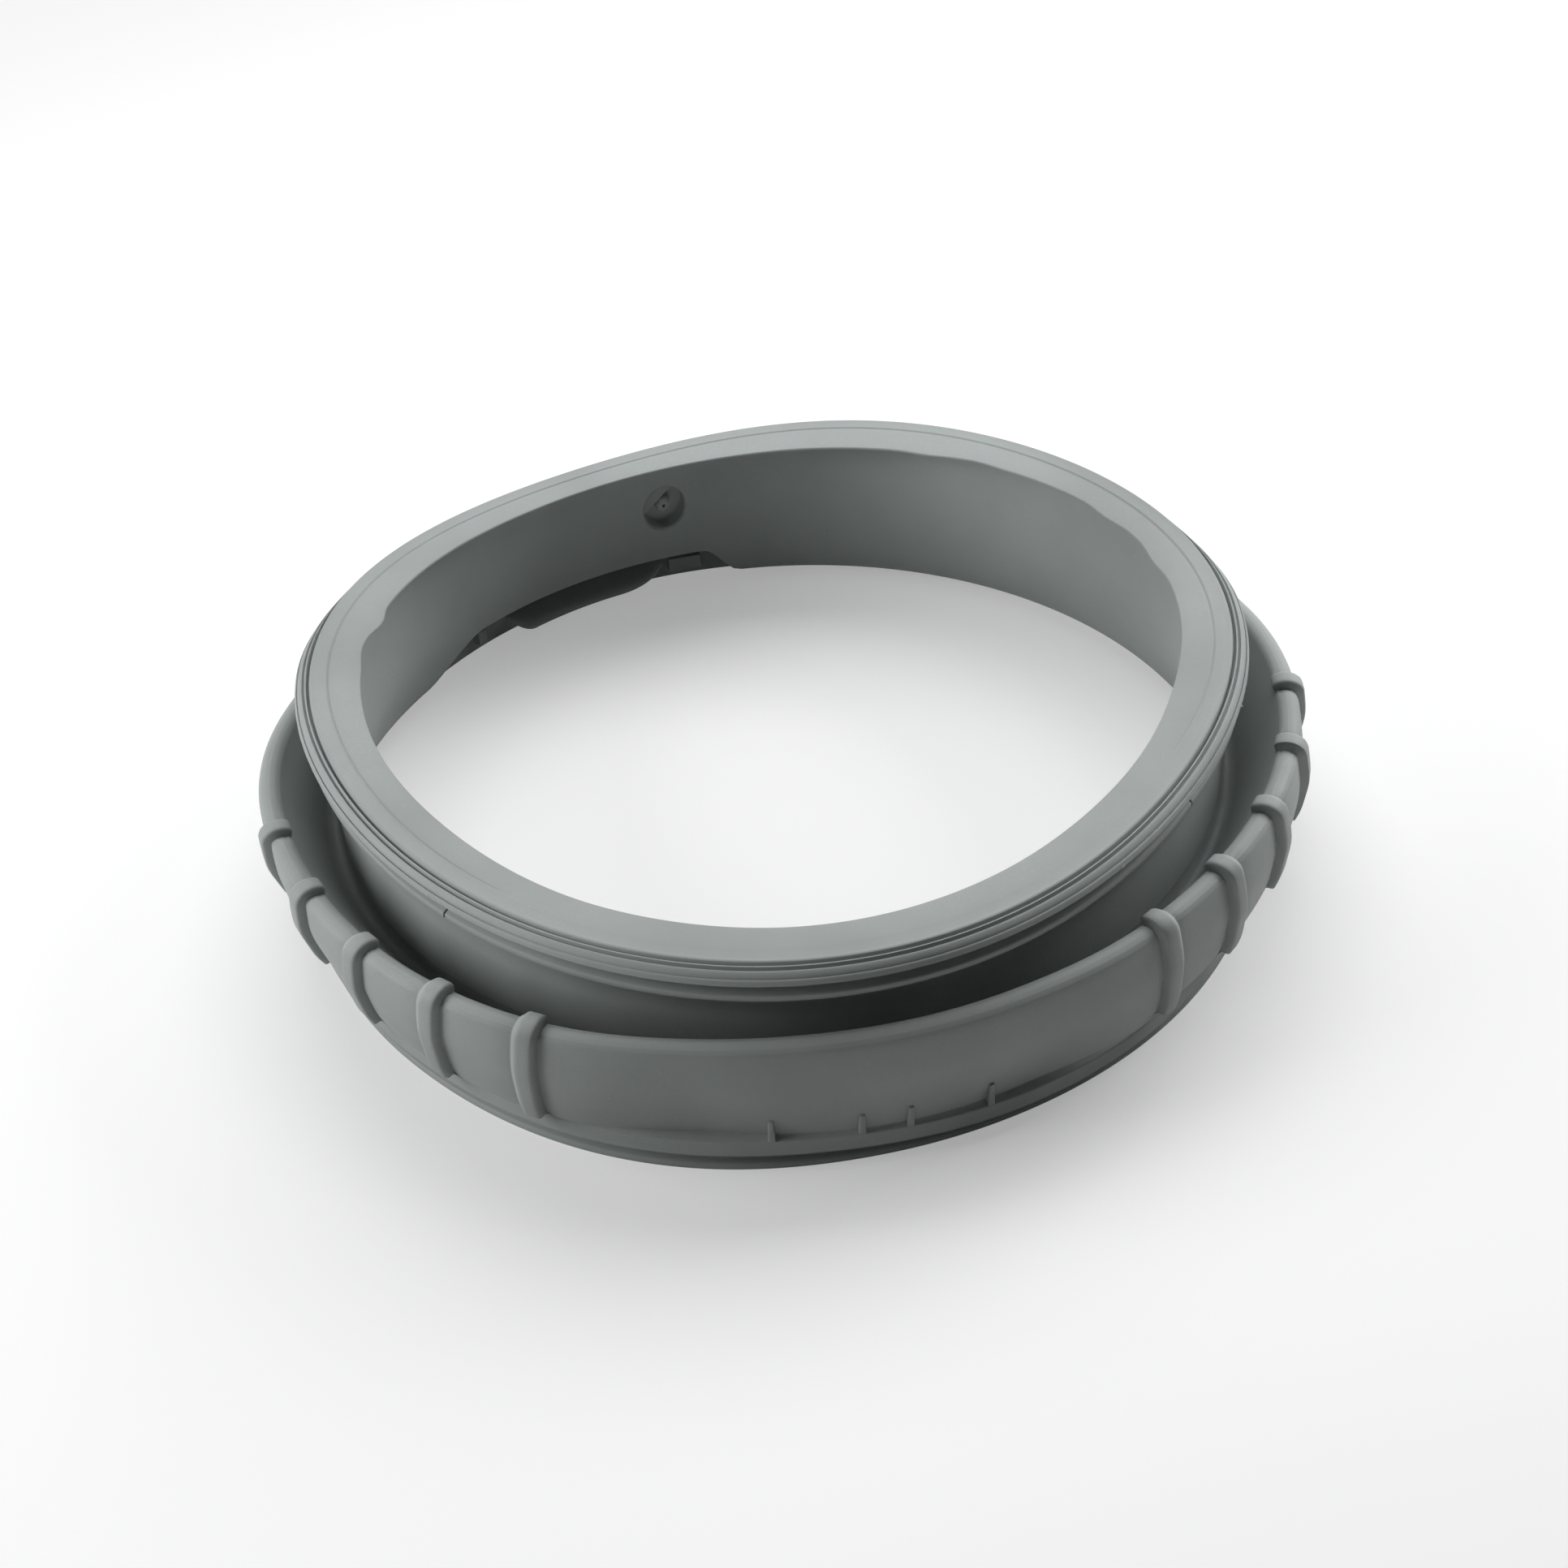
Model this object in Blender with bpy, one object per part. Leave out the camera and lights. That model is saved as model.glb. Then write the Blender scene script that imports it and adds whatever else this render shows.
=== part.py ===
"""Door seal of a front-loading washing machine: one moulded rubber ring.

The ring stands on its tub side. Units are metres, +Z is up, and the origin lies
on the floor below the middle of the ring. Angles go round +Z from +X, and the
flattened stretch of the fold faces about -Y. The section is drawn about the
centre of the tub lip, and the finished ring is then moved over the origin.

One section runs all the way round: a flange with a thin sealing lip, a narrow
slot for the cabinet rim, two outer lips, a wall that ends below in a free
sleeve, and a deep fold that branches off the wall, rises to a round crest and
comes down to a ledge, a groove and the tub lip.
"""

import math

import bmesh
import bpy
from mathutils import Matrix, Vector

MM = 0.001

# Rings of the section, radius and height
SLOT_RADIUS = 200.0 * MM
FLANGE_HEIGHT = 101.5 * MM
FLANGE_WIDTH = 22.6 * MM
FLANGE_STEP = 8.6 * MM
STEP_DEPTH = 0.6 * MM
LIP_THICKNESS = 1.6 * MM
SLOT_WIDTH = 1.5 * MM
SLOT_DEPTH = 3.4 * MM
OUTER_LIP_REACH = 6.2 * MM
OUTER_LIP_HEIGHT = 5.4 * MM
LOWER_LIP_REACH = 4.2 * MM
LOWER_LIP_DROP = 13.2 * MM
LOWER_LIP_FACE = 2.2 * MM
WALL_THICKNESS = 3.0 * MM
WALL_INSET = 3.3 * MM
TRENCH_HEIGHT = 38.0 * MM
SKIN_THICKNESS = 3.0 * MM
CREST_REACH = 21.0 * MM
CREST_HEIGHT = 75.0 * MM
CREST_ROUND = 5.2 * MM
FOLD_BULGE = 1.0 * MM
FOLD_FOOT_INSET = 6.0 * MM
FOLD_FOOT_HEIGHT = 22.5 * MM
LEDGE_INSET = 3.2 * MM
LEDGE_TOP = 17.8 * MM
LEDGE_BOTTOM = 10.0 * MM
GROOVE_DEPTH = 2.6 * MM
WEB_THICKNESS = 2.4 * MM
TUB_LIP_INSET = 2.2 * MM
TUB_LIP_HEIGHT = 3.0 * MM
SLEEVE_FLARE = 3.3 * MM
SLEEVE_HEIGHT = 6.8 * MM
SLEEVE_THICKNESS = 1.9 * MM

# Radii that follow from them
WALL_RADIUS = SLOT_RADIUS - WALL_INSET
CREST_RADIUS = SLOT_RADIUS + CREST_REACH
FOLD_FOOT_RADIUS = CREST_RADIUS + CREST_ROUND - FOLD_FOOT_INSET
LEDGE_RADIUS = FOLD_FOOT_RADIUS - LEDGE_INSET
TUB_LIP_RADIUS = LEDGE_RADIUS - TUB_LIP_INSET
GROOVE_RADIUS = TUB_LIP_RADIUS - GROOVE_DEPTH
WEB_RADIUS = GROOVE_RADIUS - WEB_THICKNESS
SLEEVE_RADIUS = WALL_RADIUS + SLEEVE_FLARE

# How the soft ring stands out of round: waves are (count, mm, peak angle),
# swells are (mm, angle, spread)
FLANGE_WAVES = ((1, 1.9, -94.0), (3, 3.4, 38.0), (4, 2.2, -6.0), (5, 1.1, 8.5))
LIP_WAVES = ((1, 2.2, 80.0), (3, 0.9, -55.0), (4, 1.3, -17.0))
FLANGE_SAG = ((-11.0, 112.0, 88.0),)
CREST_SWELLS = ((4.0, -122.0, 40.0), (2.8, -160.0, 42.0), (2.8, -8.0, 30.0))
FOLD_FOOT_SWELLS = ((7.0, -3.0, 44.0), (-1.8, -155.0, 25.0), (3.0, -77.0, 35.0))
LEDGE_SWELLS = ((2.2, -110.0, 30.0), (2.2, -62.0, 35.0), (3.7, 118.0, 50.0))
TUB_SWELLS = ((2.2, -110.0, 30.0), (-1.5, -68.0, 35.0), (3.7, 118.0, 50.0))
SLEEVE_OVAL = 3.0 * MM
REAR_LIP_SPAN = (14.0, 166.0)
REAR_LIP_FADE = 22.0
REAR_LIP_TUCK = 0.6
REAR_LIP_DROP = 2.0 * MM

# The fold round the ring
FRONT_ANGLE = -83.0
FLAT_HALF_ANGLE = 33.0
FLAT_FADE_ANGLE = 17.0
FLAT_DEPTH = 7.3 * MM
FLAT_AT_CREST = 0.2
FLAT_FOOT_DROP = 3.3 * MM
FOLD_FULL_ANGLE = 80.0
FOLD_FADE_ANGLE = 50.0
REAR_FOLD_SHARE = 0.5
REAR_FOLD_INSET = 9.0 * MM

# Ribs over the fold
RIBS_PER_SIDE = 5
RIB_FIRST_ANGLE = 33.3
RIB_PITCH = 11.1
RIB_SPLAY = 1.06
RIB_WIDTH = 10.4 * MM
RIB_HEIGHT = 3.4 * MM
RIB_ROUND = 1.5 * MM
RIB_ROOT = 1.3 * MM

# Gussets on the ledge
FIN_ANGLES = (-93.4, -84.0, -78.9, -70.1)
FIN_THICKNESS = 1.8 * MM
FIN_HEIGHT = 9.5 * MM
FIN_SINK = 1.0 * MM

# Port in the wall
PORT_ANGLE = 104.7
PORT_HEIGHT = 60.0 * MM
PORT_BORE = 21.0 * MM
PORT_STRETCH = 1.35
PORT_WALL = 2.2 * MM
PORT_REACH = 5.5 * MM
PORT_FLOOR = 1.8 * MM
NIPPLE_DIAMETER = 7.4 * MM
NIPPLE_HEIGHT = 3.6 * MM
NIPPLE_BORE = 2.0 * MM
SHIELD_SHARE = 0.26
SHIELD_TILT = 51.0
SHIELD_THICKNESS = 1.2 * MM

# Notch in the sleeve, with the drain tongue and the lugs behind it
NOTCH_ANGLES = (94.0, 99.0, 135.0, 147.0)
NOTCH_HEIGHT = 22.0 * MM
TONGUE_ANGLES = (104.7, 129.0)
TONGUE_ENDS = (7.5, 2.6)
TONGUE_REACH = 15.5 * MM
TONGUE_THICKNESS = 2.2 * MM
TONGUE_ROOT_HEIGHT = 14.0 * MM
TONGUE_DROP = 5.5 * MM
LUG_ANGLES = (99.3, 103.9)
LUG_REACH = 6.0 * MM
LUG_HEIGHTS = (5.0 * MM, 13.0 * MM)
POST_ANGLES = (133.2, 134.6)

STATIONS = 72
CREST_STEPS = 4
CREST_STEPS_INSIDE = 2
CLEAR = 1.0 * MM
MERGE = 0.02 * MM

RUBBER_COLOUR = (0.30, 0.323, 0.318, 1.0)
RUBBER_ROUGHNESS = 0.62


def smooth_step(value):
    value = min(max(value, 0.0), 1.0)
    return value * value * (3.0 - 2.0 * value)


def turn_between(angle, other):
    """Signed turn in degrees from one angle to another, within half a turn."""
    return (angle - other + 180.0) % 360.0 - 180.0


def bump(angle, centre, spread):
    """One smooth hump of height 1 that fades out a spread away from its centre."""
    share = min(abs(turn_between(angle, centre)) / spread, 1.0)
    return 0.5 + 0.5 * math.cos(math.pi * share)


def waves(angle, terms):
    """Sum of even waves round the ring at an angle."""
    return sum(size * MM * math.cos(math.radians(count * (angle - peak))) for count, size, peak in terms)


def swells(angle, terms):
    """Sum of single humps at an angle."""
    return sum(size * MM * bump(angle, centre, spread) for size, centre, spread in terms)


def sleeve_shift(angle):
    """Radial shift of the sleeve's free edge at an angle."""
    return SLEEVE_OVAL * (0.4 + math.cos(math.radians(2.0 * angle)))


def tub_shift(angle):
    """Radial shift of the web and the tub lip at an angle."""
    return swells(angle, TUB_SWELLS)


def ledge_radius(angle):
    return LEDGE_RADIUS + swells(angle, LEDGE_SWELLS)


def rear_share(angle):
    """How far the outer lip is tucked under the flange at an angle."""
    start, end = REAR_LIP_SPAN
    away = abs(turn_between(angle, (start + end) / 2)) - (end - start) / 2
    return 1.0 - smooth_step(away / REAR_LIP_FADE + 0.5)


def fold_share(angle):
    """How much of its full height the fold has at an angle."""
    away = abs(turn_between(angle, FRONT_ANGLE)) - FOLD_FULL_ANGLE
    return 1.0 - smooth_step(away / FOLD_FADE_ANGLE)


def flat_share(angle):
    """How far the fold is flattened at an angle, 0 beside the first ribs."""
    away = abs(turn_between(angle, FRONT_ANGLE))
    return smooth_step((FLAT_HALF_ANGLE - away) / FLAT_FADE_ANGLE)


def arc(centre, radius, start, end, steps):
    """Points on an arc in the section, its angles in degrees."""
    points = []
    for index in range(steps + 1):
        turn = math.radians(start + (end - start) * index / steps)
        points.append((centre[0] + radius * math.cos(turn), centre[1] + radius * math.sin(turn)))
    return points


def flange_outline(angle):
    """Top of the section, from the sealing lip's edge out to below the lower lip."""
    top = FLANGE_HEIGHT
    lip_edge = SLOT_RADIUS - FLANGE_WIDTH - waves(angle, LIP_WAVES)
    step = SLOT_RADIUS - FLANGE_STEP
    slot_out = SLOT_RADIUS + SLOT_WIDTH / 2
    slot_in = SLOT_RADIUS - SLOT_WIDTH / 2
    outer = SLOT_RADIUS + OUTER_LIP_REACH
    neck = SLOT_RADIUS + 0.8 * MM
    lower = SLOT_RADIUS + LOWER_LIP_REACH
    lower_edge = top - LOWER_LIP_DROP
    tuck = REAR_LIP_TUCK * rear_share(angle)
    outer -= tuck * (outer - slot_out)
    lip_top = top - REAR_LIP_DROP * rear_share(angle)
    return [
        (lip_edge, top - 0.8 * LIP_THICKNESS),
        (lip_edge + 0.8 * MM, top),
        (step, top + STEP_DEPTH / 2),
        (step + 0.7 * MM, top - STEP_DEPTH / 2),
        (slot_in - 1.4 * MM, top),
        (slot_in, top - 0.8 * MM),
        (slot_in, top - SLOT_DEPTH),
        (slot_out, top - SLOT_DEPTH),
        (slot_out, lip_top - 0.4 * MM),
        (outer - 2.6 * (1.0 - tuck) * MM, lip_top - 0.2 * MM),
        (outer - 0.6 * (1.0 - tuck) * MM, lip_top - 1.5 * MM),
        (outer, lip_top - 3.0 * MM),
        (outer - 0.4 * MM, top - OUTER_LIP_HEIGHT),
        (neck, top - OUTER_LIP_HEIGHT - 1.2 * MM),
        (neck + 0.8 * MM, lower_edge + 3.4 * MM),
        (lower, lower_edge),
        (lower, lower_edge - LOWER_LIP_FACE),
        (WALL_RADIUS + 0.4 * MM, lower_edge - LOWER_LIP_FACE - 0.6 * MM),
    ]


def wall_outline():
    """Outer face of the wall, down to the bottom of the trench."""
    top = FLANGE_HEIGHT - LOWER_LIP_DROP
    return [
        (WALL_RADIUS, (top + TRENCH_HEIGHT) / 2),
        (WALL_RADIUS + 0.6 * MM, TRENCH_HEIGHT + 2.2 * MM),
        (WALL_RADIUS + 2.8 * MM, TRENCH_HEIGHT),
    ]


def fold_line(crest_steps):
    """Outer surface of the fold, from the trench over the crest to its foot."""
    crest = (CREST_RADIUS, CREST_HEIGHT - CREST_ROUND)
    rise = (CREST_RADIUS - CREST_ROUND - 0.4 * MM, crest[1] - 1.6 * MM)
    start = (WALL_RADIUS + 5.8 * MM, TRENCH_HEIGHT + 2.4 * MM)
    middle = ((start[0] + rise[0]) / 2, (start[1] + rise[1]) / 2)
    face = CREST_RADIUS + CREST_ROUND
    points = [start, middle, rise]
    points += arc(crest, CREST_ROUND, 150.0, 0.0, crest_steps)
    points += [
        (face + FOLD_BULGE, (CREST_HEIGHT + FOLD_FOOT_HEIGHT) / 2 + 4.0 * MM),
        (face - 0.45 * FOLD_FOOT_INSET, FOLD_FOOT_HEIGHT + 9.0 * MM),
        (FOLD_FOOT_RADIUS, FOLD_FOOT_HEIGHT),
    ]
    return points


def offset_line(points, distance):
    """The same line moved to its right-hand side by a distance."""
    moved = []
    for index, point in enumerate(points):
        before = points[max(index - 1, 0)]
        after = points[min(index + 1, len(points) - 1)]
        run = Vector((after[0] - before[0], after[1] - before[1])).normalized()
        moved.append((point[0] + run.y * distance, point[1] - run.x * distance))
    return moved


def tub_outline(angle):
    """Ledge, groove and tub lip, then up the web behind them."""
    ledge = ledge_radius(angle)
    shift = tub_shift(angle)
    groove = GROOVE_RADIUS + shift
    lip = TUB_LIP_RADIUS + shift
    web = WEB_RADIUS + shift
    return [
        (ledge - 0.4 * MM, LEDGE_TOP),
        (ledge, LEDGE_BOTTOM + 0.8 * MM),
        (ledge - 1.0 * MM, LEDGE_BOTTOM),
        (groove, LEDGE_BOTTOM - 0.6 * MM),
        (groove, TUB_LIP_HEIGHT + 0.5 * MM),
        (lip - 0.6 * MM, TUB_LIP_HEIGHT),
        (lip, TUB_LIP_HEIGHT / 2),
        (lip - 0.3 * MM, 0.0),
        (web + 0.4 * MM, 0.0),
        (web, LEDGE_TOP - 4.0 * MM),
        (web + 1.6 * MM, LEDGE_TOP),
    ]


def sleeve_outline():
    """Free sleeve below the trench, round its edge and up the inner face."""
    inner = WALL_RADIUS - WALL_THICKNESS
    outer = SLEEVE_RADIUS + SLEEVE_THICKNESS
    return [
        (WALL_RADIUS + 5.4 * MM, TRENCH_HEIGHT - 1.6 * MM),
        (WALL_RADIUS + 2.8 * MM, TRENCH_HEIGHT - 5.4 * MM),
        (outer - 2.2 * MM, TRENCH_HEIGHT / 2 + 4.0 * MM),
        (outer, SLEEVE_HEIGHT + 1.0 * MM),
        (outer - 0.6 * MM, SLEEVE_HEIGHT),
        (SLEEVE_RADIUS, SLEEVE_HEIGHT + 0.4 * MM),
        (SLEEVE_RADIUS - 2.4 * MM, TRENCH_HEIGHT / 2 + 3.0 * MM),
        (inner + 1.2 * MM, TRENCH_HEIGHT),
        (inner, (FLANGE_HEIGHT + TRENCH_HEIGHT) / 2),
        (inner - 0.6 * MM, FLANGE_HEIGHT - 12.0 * MM),
        (inner - 3.4 * MM, FLANGE_HEIGHT - 5.6 * MM),
        (inner - 9.0 * MM, FLANGE_HEIGHT - 2.4 * MM),
    ]


def place_upper(point, angle):
    """A point of the flange, wall or sleeve, moved with the soft ring."""
    radius, height = point
    full = FLANGE_HEIGHT - LOWER_LIP_DROP
    share = smooth_step((height - TRENCH_HEIGHT) / (full - TRENCH_HEIGHT))
    low = 1.0 - smooth_step((height - SLEEVE_HEIGHT) / (TRENCH_HEIGHT - SLEEVE_HEIGHT))
    radius += share * waves(angle, FLANGE_WAVES) + low * sleeve_shift(angle)
    return radius, height + share * swells(angle, FLANGE_SAG)


def place_fold(point, angle):
    """A point of the fold, lowered at the rear and flattened at the front."""
    radius, height = point
    rise = min(max((height - TRENCH_HEIGHT) / (CREST_HEIGHT - TRENCH_HEIGHT), 0.0), 1.0)
    drop = 1.0 - min(max((height - FOLD_FOOT_HEIGHT) / (CREST_HEIGHT - FOLD_FOOT_HEIGHT), 0.0), 1.0)
    out = min(max((radius - SLOT_RADIUS) / (CREST_RADIUS - SLOT_RADIUS), 0.0), 1.0)
    radius -= REAR_FOLD_INSET * (1.0 - fold_share(angle)) * out
    if radius < CREST_RADIUS - CREST_ROUND:
        radius += rise * (swells(angle, CREST_SWELLS) - FLAT_DEPTH * FLAT_AT_CREST * flat_share(angle))
    else:
        press = FLAT_AT_CREST + (1.0 - FLAT_AT_CREST) * smooth_step(drop)
        radius += (1.0 - drop) * swells(angle, CREST_SWELLS) + drop * swells(angle, FOLD_FOOT_SWELLS)
        radius -= FLAT_DEPTH * press * flat_share(angle)
    keep = REAR_FOLD_SHARE + (1.0 - REAR_FOLD_SHARE) * fold_share(angle)
    if height > TRENCH_HEIGHT:
        height = TRENCH_HEIGHT + keep * (height - TRENCH_HEIGHT)
    return radius, height - FLAT_FOOT_DROP * flat_share(angle) * drop**8


def section(angle):
    """Closed outline of the ring at an angle, clockwise seen with the radius to the right."""
    inside = offset_line(fold_line(CREST_STEPS_INSIDE), SKIN_THICKNESS)
    inside.reverse()
    points = []
    for point in flange_outline(angle) + wall_outline():
        points.append(place_upper(point, angle))
    for point in fold_line(CREST_STEPS):
        points.append(place_fold(point, angle))
    points += tub_outline(angle)
    for point in inside[:-1]:
        points.append(place_fold(point, angle))
    for point in sleeve_outline():
        points.append(place_upper(point, angle))
    return points


def on_ring(radius, height, angle):
    turn = math.radians(angle)
    return Vector((radius * math.cos(turn), radius * math.sin(turn), height))


def mesh_object(name, verts, faces):
    mesh = bpy.data.meshes.new(name)
    mesh.from_pydata(verts, [], faces)
    tidy = bmesh.new()
    tidy.from_mesh(mesh)
    bmesh.ops.recalc_face_normals(tidy, faces=tidy.faces)
    bmesh.ops.triangulate(tidy, faces=tidy.faces)
    tidy.to_mesh(mesh)
    tidy.free()
    part = bpy.data.objects.new(name, mesh)
    bpy.context.scene.collection.objects.link(part)
    return part


def loft(name, rows, closed):
    """Skin over rows of points; the rows close on the first, or are capped."""
    count = len(rows[0])
    verts = [point for row in rows for point in row]
    spans = len(rows) if closed else len(rows) - 1
    faces = []
    for row in range(spans):
        this = row * count
        following = (row + 1) % len(rows) * count
        for side in range(count):
            near = (side + 1) % count
            faces.append((this + side, this + near, following + near, following + side))
    if not closed:
        faces.append(tuple(range(count)))
        faces.append(tuple(range(len(verts) - count, len(verts))))
    return mesh_object(name, verts, faces)


def make_ring():
    rows = []
    for index in range(STATIONS):
        angle = 360.0 * index / STATIONS
        rows.append([on_ring(radius, height, angle) for radius, height in section(angle)])
    return loft("door_seal", rows, True)


def combine(target, other, operation):
    """Apply one exact Boolean, remove the tool and close hairline slivers."""
    modifier = target.modifiers.new(operation, "BOOLEAN")
    modifier.operation = operation
    modifier.solver = "EXACT"
    modifier.object = other
    graph = bpy.context.evaluated_depsgraph_get()
    result = bpy.data.meshes.new_from_object(target.evaluated_get(graph))
    target.modifiers.clear()
    target.data = result
    bpy.data.objects.remove(other)
    tidy = bmesh.new()
    tidy.from_mesh(result)
    bmesh.ops.remove_doubles(tidy, verts=tidy.verts, dist=MERGE)
    bmesh.ops.dissolve_degenerate(tidy, edges=tidy.edges, dist=MERGE)
    bmesh.ops.triangulate(tidy, faces=tidy.faces)
    tidy.to_mesh(result)
    tidy.free()


def rib_path(angle):
    """Surface points and outward normals that a rib follows at an angle."""
    line = fold_line(CREST_STEPS)[3:]
    above = line[-2]
    line[-1] = (line[-1][0] + 0.2 * (above[0] - line[-1][0]), line[-1][1] + 0.2 * (above[1] - line[-1][1]))
    line = [place_fold(point, angle) for point in line]
    path = []
    for index, point in enumerate(line):
        before = line[max(index - 1, 0)]
        after = line[min(index + 1, len(line) - 1)]
        run = Vector((after[0] - before[0], after[1] - before[1])).normalized()
        path.append((point, (-run.y, run.x)))
    return path


def make_rib(away):
    """Rounded bar over the fold, its foot turned a little further from the front."""
    half = RIB_WIDTH / 2
    across = [(-half, -RIB_ROOT), (-half, RIB_HEIGHT - RIB_ROUND), (-half + RIB_ROUND, RIB_HEIGHT)]
    across += [(half - RIB_ROUND, RIB_HEIGHT), (half, RIB_HEIGHT - RIB_ROUND), (half, -RIB_ROOT)]
    path = rib_path(FRONT_ANGLE + away)
    top = path[0][0][1]
    rows = []
    for point, normal in path:
        drop = min((top - point[1]) / (top - FOLD_FOOT_HEIGHT), 1.0)
        angle = FRONT_ANGLE + away * (1.0 + (RIB_SPLAY - 1.0) * drop)
        side = on_ring(1.0, 0.0, angle + 90.0)
        row = []
        for offset, lift in across:
            base = on_ring(point[0] + normal[0] * lift, point[1] + normal[1] * lift, angle)
            row.append(base + side * offset)
        rows.append(row)
    return loft("rib", rows, False)


def rib_turns():
    """Angles of the ribs from the middle of the front, both ways."""
    turns = []
    for index in range(RIBS_PER_SIDE):
        away = RIB_FIRST_ANGLE + index * RIB_PITCH
        turns += [-away, away]
    return turns


def make_fin(angle):
    """Thin three-sided gusset between the flattened fold and the ledge."""
    above, foot = (place_fold(point, angle) for point in fold_line(CREST_STEPS)[-2:])
    low = LEDGE_TOP - 4.0 * MM
    top = LEDGE_TOP + FIN_HEIGHT
    face = foot[0] + (above[0] - foot[0]) * (top - foot[1]) / (above[1] - foot[1])
    ledge = ledge_radius(angle) - 0.4 * MM
    corners = [
        (foot[0] - 2.0 * MM, low),
        (foot[0] - FIN_SINK, foot[1]),
        (face - FIN_SINK, top),
        (face + 0.7 * MM, top - 0.8 * MM),
        (ledge, LEDGE_TOP - 0.6 * MM),
        (ledge, low),
    ]
    side = on_ring(FIN_THICKNESS / 2, 0.0, angle + 90.0)
    rows = []
    for sign in (-1.0, 1.0):
        rows.append([on_ring(radius, height, angle) + side * sign for radius, height in corners])
    return loft("fin", rows, False)


def sector(name, angles, outline):
    """Block between two angles with the same outline all along."""
    steps = max(2, round((angles[1] - angles[0]) / 3.0))
    rows = []
    for index in range(steps + 1):
        angle = angles[0] + (angles[1] - angles[0]) * index / steps
        rows.append([on_ring(radius, height, angle) for radius, height in outline(angle)])
    return loft(name, rows, False)


def notch_outline(angle):
    """Cutter that opens the sleeve's edge up to the notch."""
    start, full, fading, end = NOTCH_ANGLES
    share = min(smooth_step((angle - start) / (full - start)), smooth_step((end - angle) / (end - fading)))
    top = SLEEVE_HEIGHT - CLEAR + (NOTCH_HEIGHT - SLEEVE_HEIGHT + CLEAR) * share
    inner = SLEEVE_RADIUS - 14.0 * MM
    outer = WEB_RADIUS - CLEAR + tub_shift(angle)
    return [(inner, -CLEAR), (outer, -CLEAR), (outer, top), (inner, top)]


def tongue_outline(angle):
    """Sloping tongue that hangs inward from the web, rounded off at its ends."""
    inside = min((angle - TONGUE_ANGLES[0]) / TONGUE_ENDS[0], (TONGUE_ANGLES[1] - angle) / TONGUE_ENDS[1], 1.0)
    share = math.sqrt(max(1.0 - (1.0 - inside) ** 2, 0.1))
    root = WEB_RADIUS + 0.5 * WEB_THICKNESS + tub_shift(angle)
    edge = root - TONGUE_REACH * share
    low = TONGUE_ROOT_HEIGHT - TONGUE_DROP * share
    return [
        (root, TONGUE_ROOT_HEIGHT - TONGUE_THICKNESS),
        (root, TONGUE_ROOT_HEIGHT),
        (edge + 3.0 * MM, low + 0.8 * MM),
        (edge, low - TONGUE_THICKNESS),
        (edge + 1.0 * MM, low - 1.6 * TONGUE_THICKNESS),
    ]


def lug_outline(angle):
    root = WEB_RADIUS + 0.5 * WEB_THICKNESS + tub_shift(angle)
    low, high = LUG_HEIGHTS
    return [(root, low), (root, high), (root - LUG_REACH, high), (root - LUG_REACH, low)]


def turned(name, outline, segments, matrix):
    """Solid of revolution about its own Z, from the axis and back to it."""
    tool = bmesh.new()
    verts = [tool.verts.new((radius, 0.0, height)) for radius, height in outline]
    edges = [tool.edges.new(pair) for pair in zip(verts, verts[1:])]
    bmesh.ops.spin(
        tool, geom=verts + edges, cent=(0, 0, 0), axis=(0, 0, 1), angle=2 * math.pi, steps=segments
    )
    bmesh.ops.remove_doubles(tool, verts=tool.verts, dist=1e-6)
    bmesh.ops.recalc_face_normals(tool, faces=tool.faces)
    tool.transform(matrix)
    mesh = bpy.data.meshes.new(name)
    tool.to_mesh(mesh)
    tool.free()
    part = bpy.data.objects.new(name, mesh)
    bpy.context.scene.collection.objects.link(part)
    return part


def port_frame():
    """Matrix whose Z points outward through the port, its origin on the inner face."""
    face = WALL_RADIUS - WALL_THICKNESS
    radius, height = place_upper((face, PORT_HEIGHT), PORT_ANGLE)
    above = place_upper((face, PORT_HEIGHT + PORT_BORE), PORT_ANGLE)
    centre = on_ring(radius, height, PORT_ANGLE)
    rise = (on_ring(above[0], above[1], PORT_ANGLE) - centre).normalized()
    along = on_ring(1.0, 0.0, PORT_ANGLE + 90.0)
    outward = along.cross(rise)
    turn = Matrix((along, rise, outward)).transposed().to_4x4()
    return Matrix.Translation(centre) @ turn @ Matrix.Diagonal((1.0, PORT_STRETCH, 1.0, 1.0))


def add_port(ring):
    """Blind cup through the wall with a pierced nipple and a half shield."""
    frame = port_frame()
    bore = PORT_BORE / 2
    shell = bore + PORT_WALL
    floor = PORT_REACH - PORT_FLOOR
    nipple = NIPPLE_DIAMETER / 2
    boss = [(0.0, 1.2 * MM), (shell, 1.2 * MM), (shell, PORT_REACH - 0.8 * MM)]
    boss += [(shell - 0.8 * MM, PORT_REACH), (0.0, PORT_REACH)]
    combine(ring, turned("boss", boss, 24, frame), "UNION")
    cup = [(0.0, -4.0 * MM), (bore, -4.0 * MM), (bore, floor), (0.0, floor)]
    combine(ring, turned("cup", cup, 24, frame), "DIFFERENCE")
    tip = floor - NIPPLE_HEIGHT
    stub = [(0.0, floor + 0.5 * MM), (nipple, floor + 0.5 * MM), (0.9 * nipple, tip + 1.4 * MM)]
    stub += [(0.5 * nipple, tip + 0.3 * MM), (0.0, tip)]
    combine(ring, turned("nipple", stub, 16, frame), "UNION")
    pierce = NIPPLE_BORE / 2
    hole = [(0.0, -4.0 * MM), (pierce, -4.0 * MM), (pierce, PORT_REACH + CLEAR), (0.0, PORT_REACH + CLEAR)]
    combine(ring, turned("hole", hole, 10, frame), "DIFFERENCE")
    combine(ring, make_shield(frame, bore), "UNION")


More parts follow.
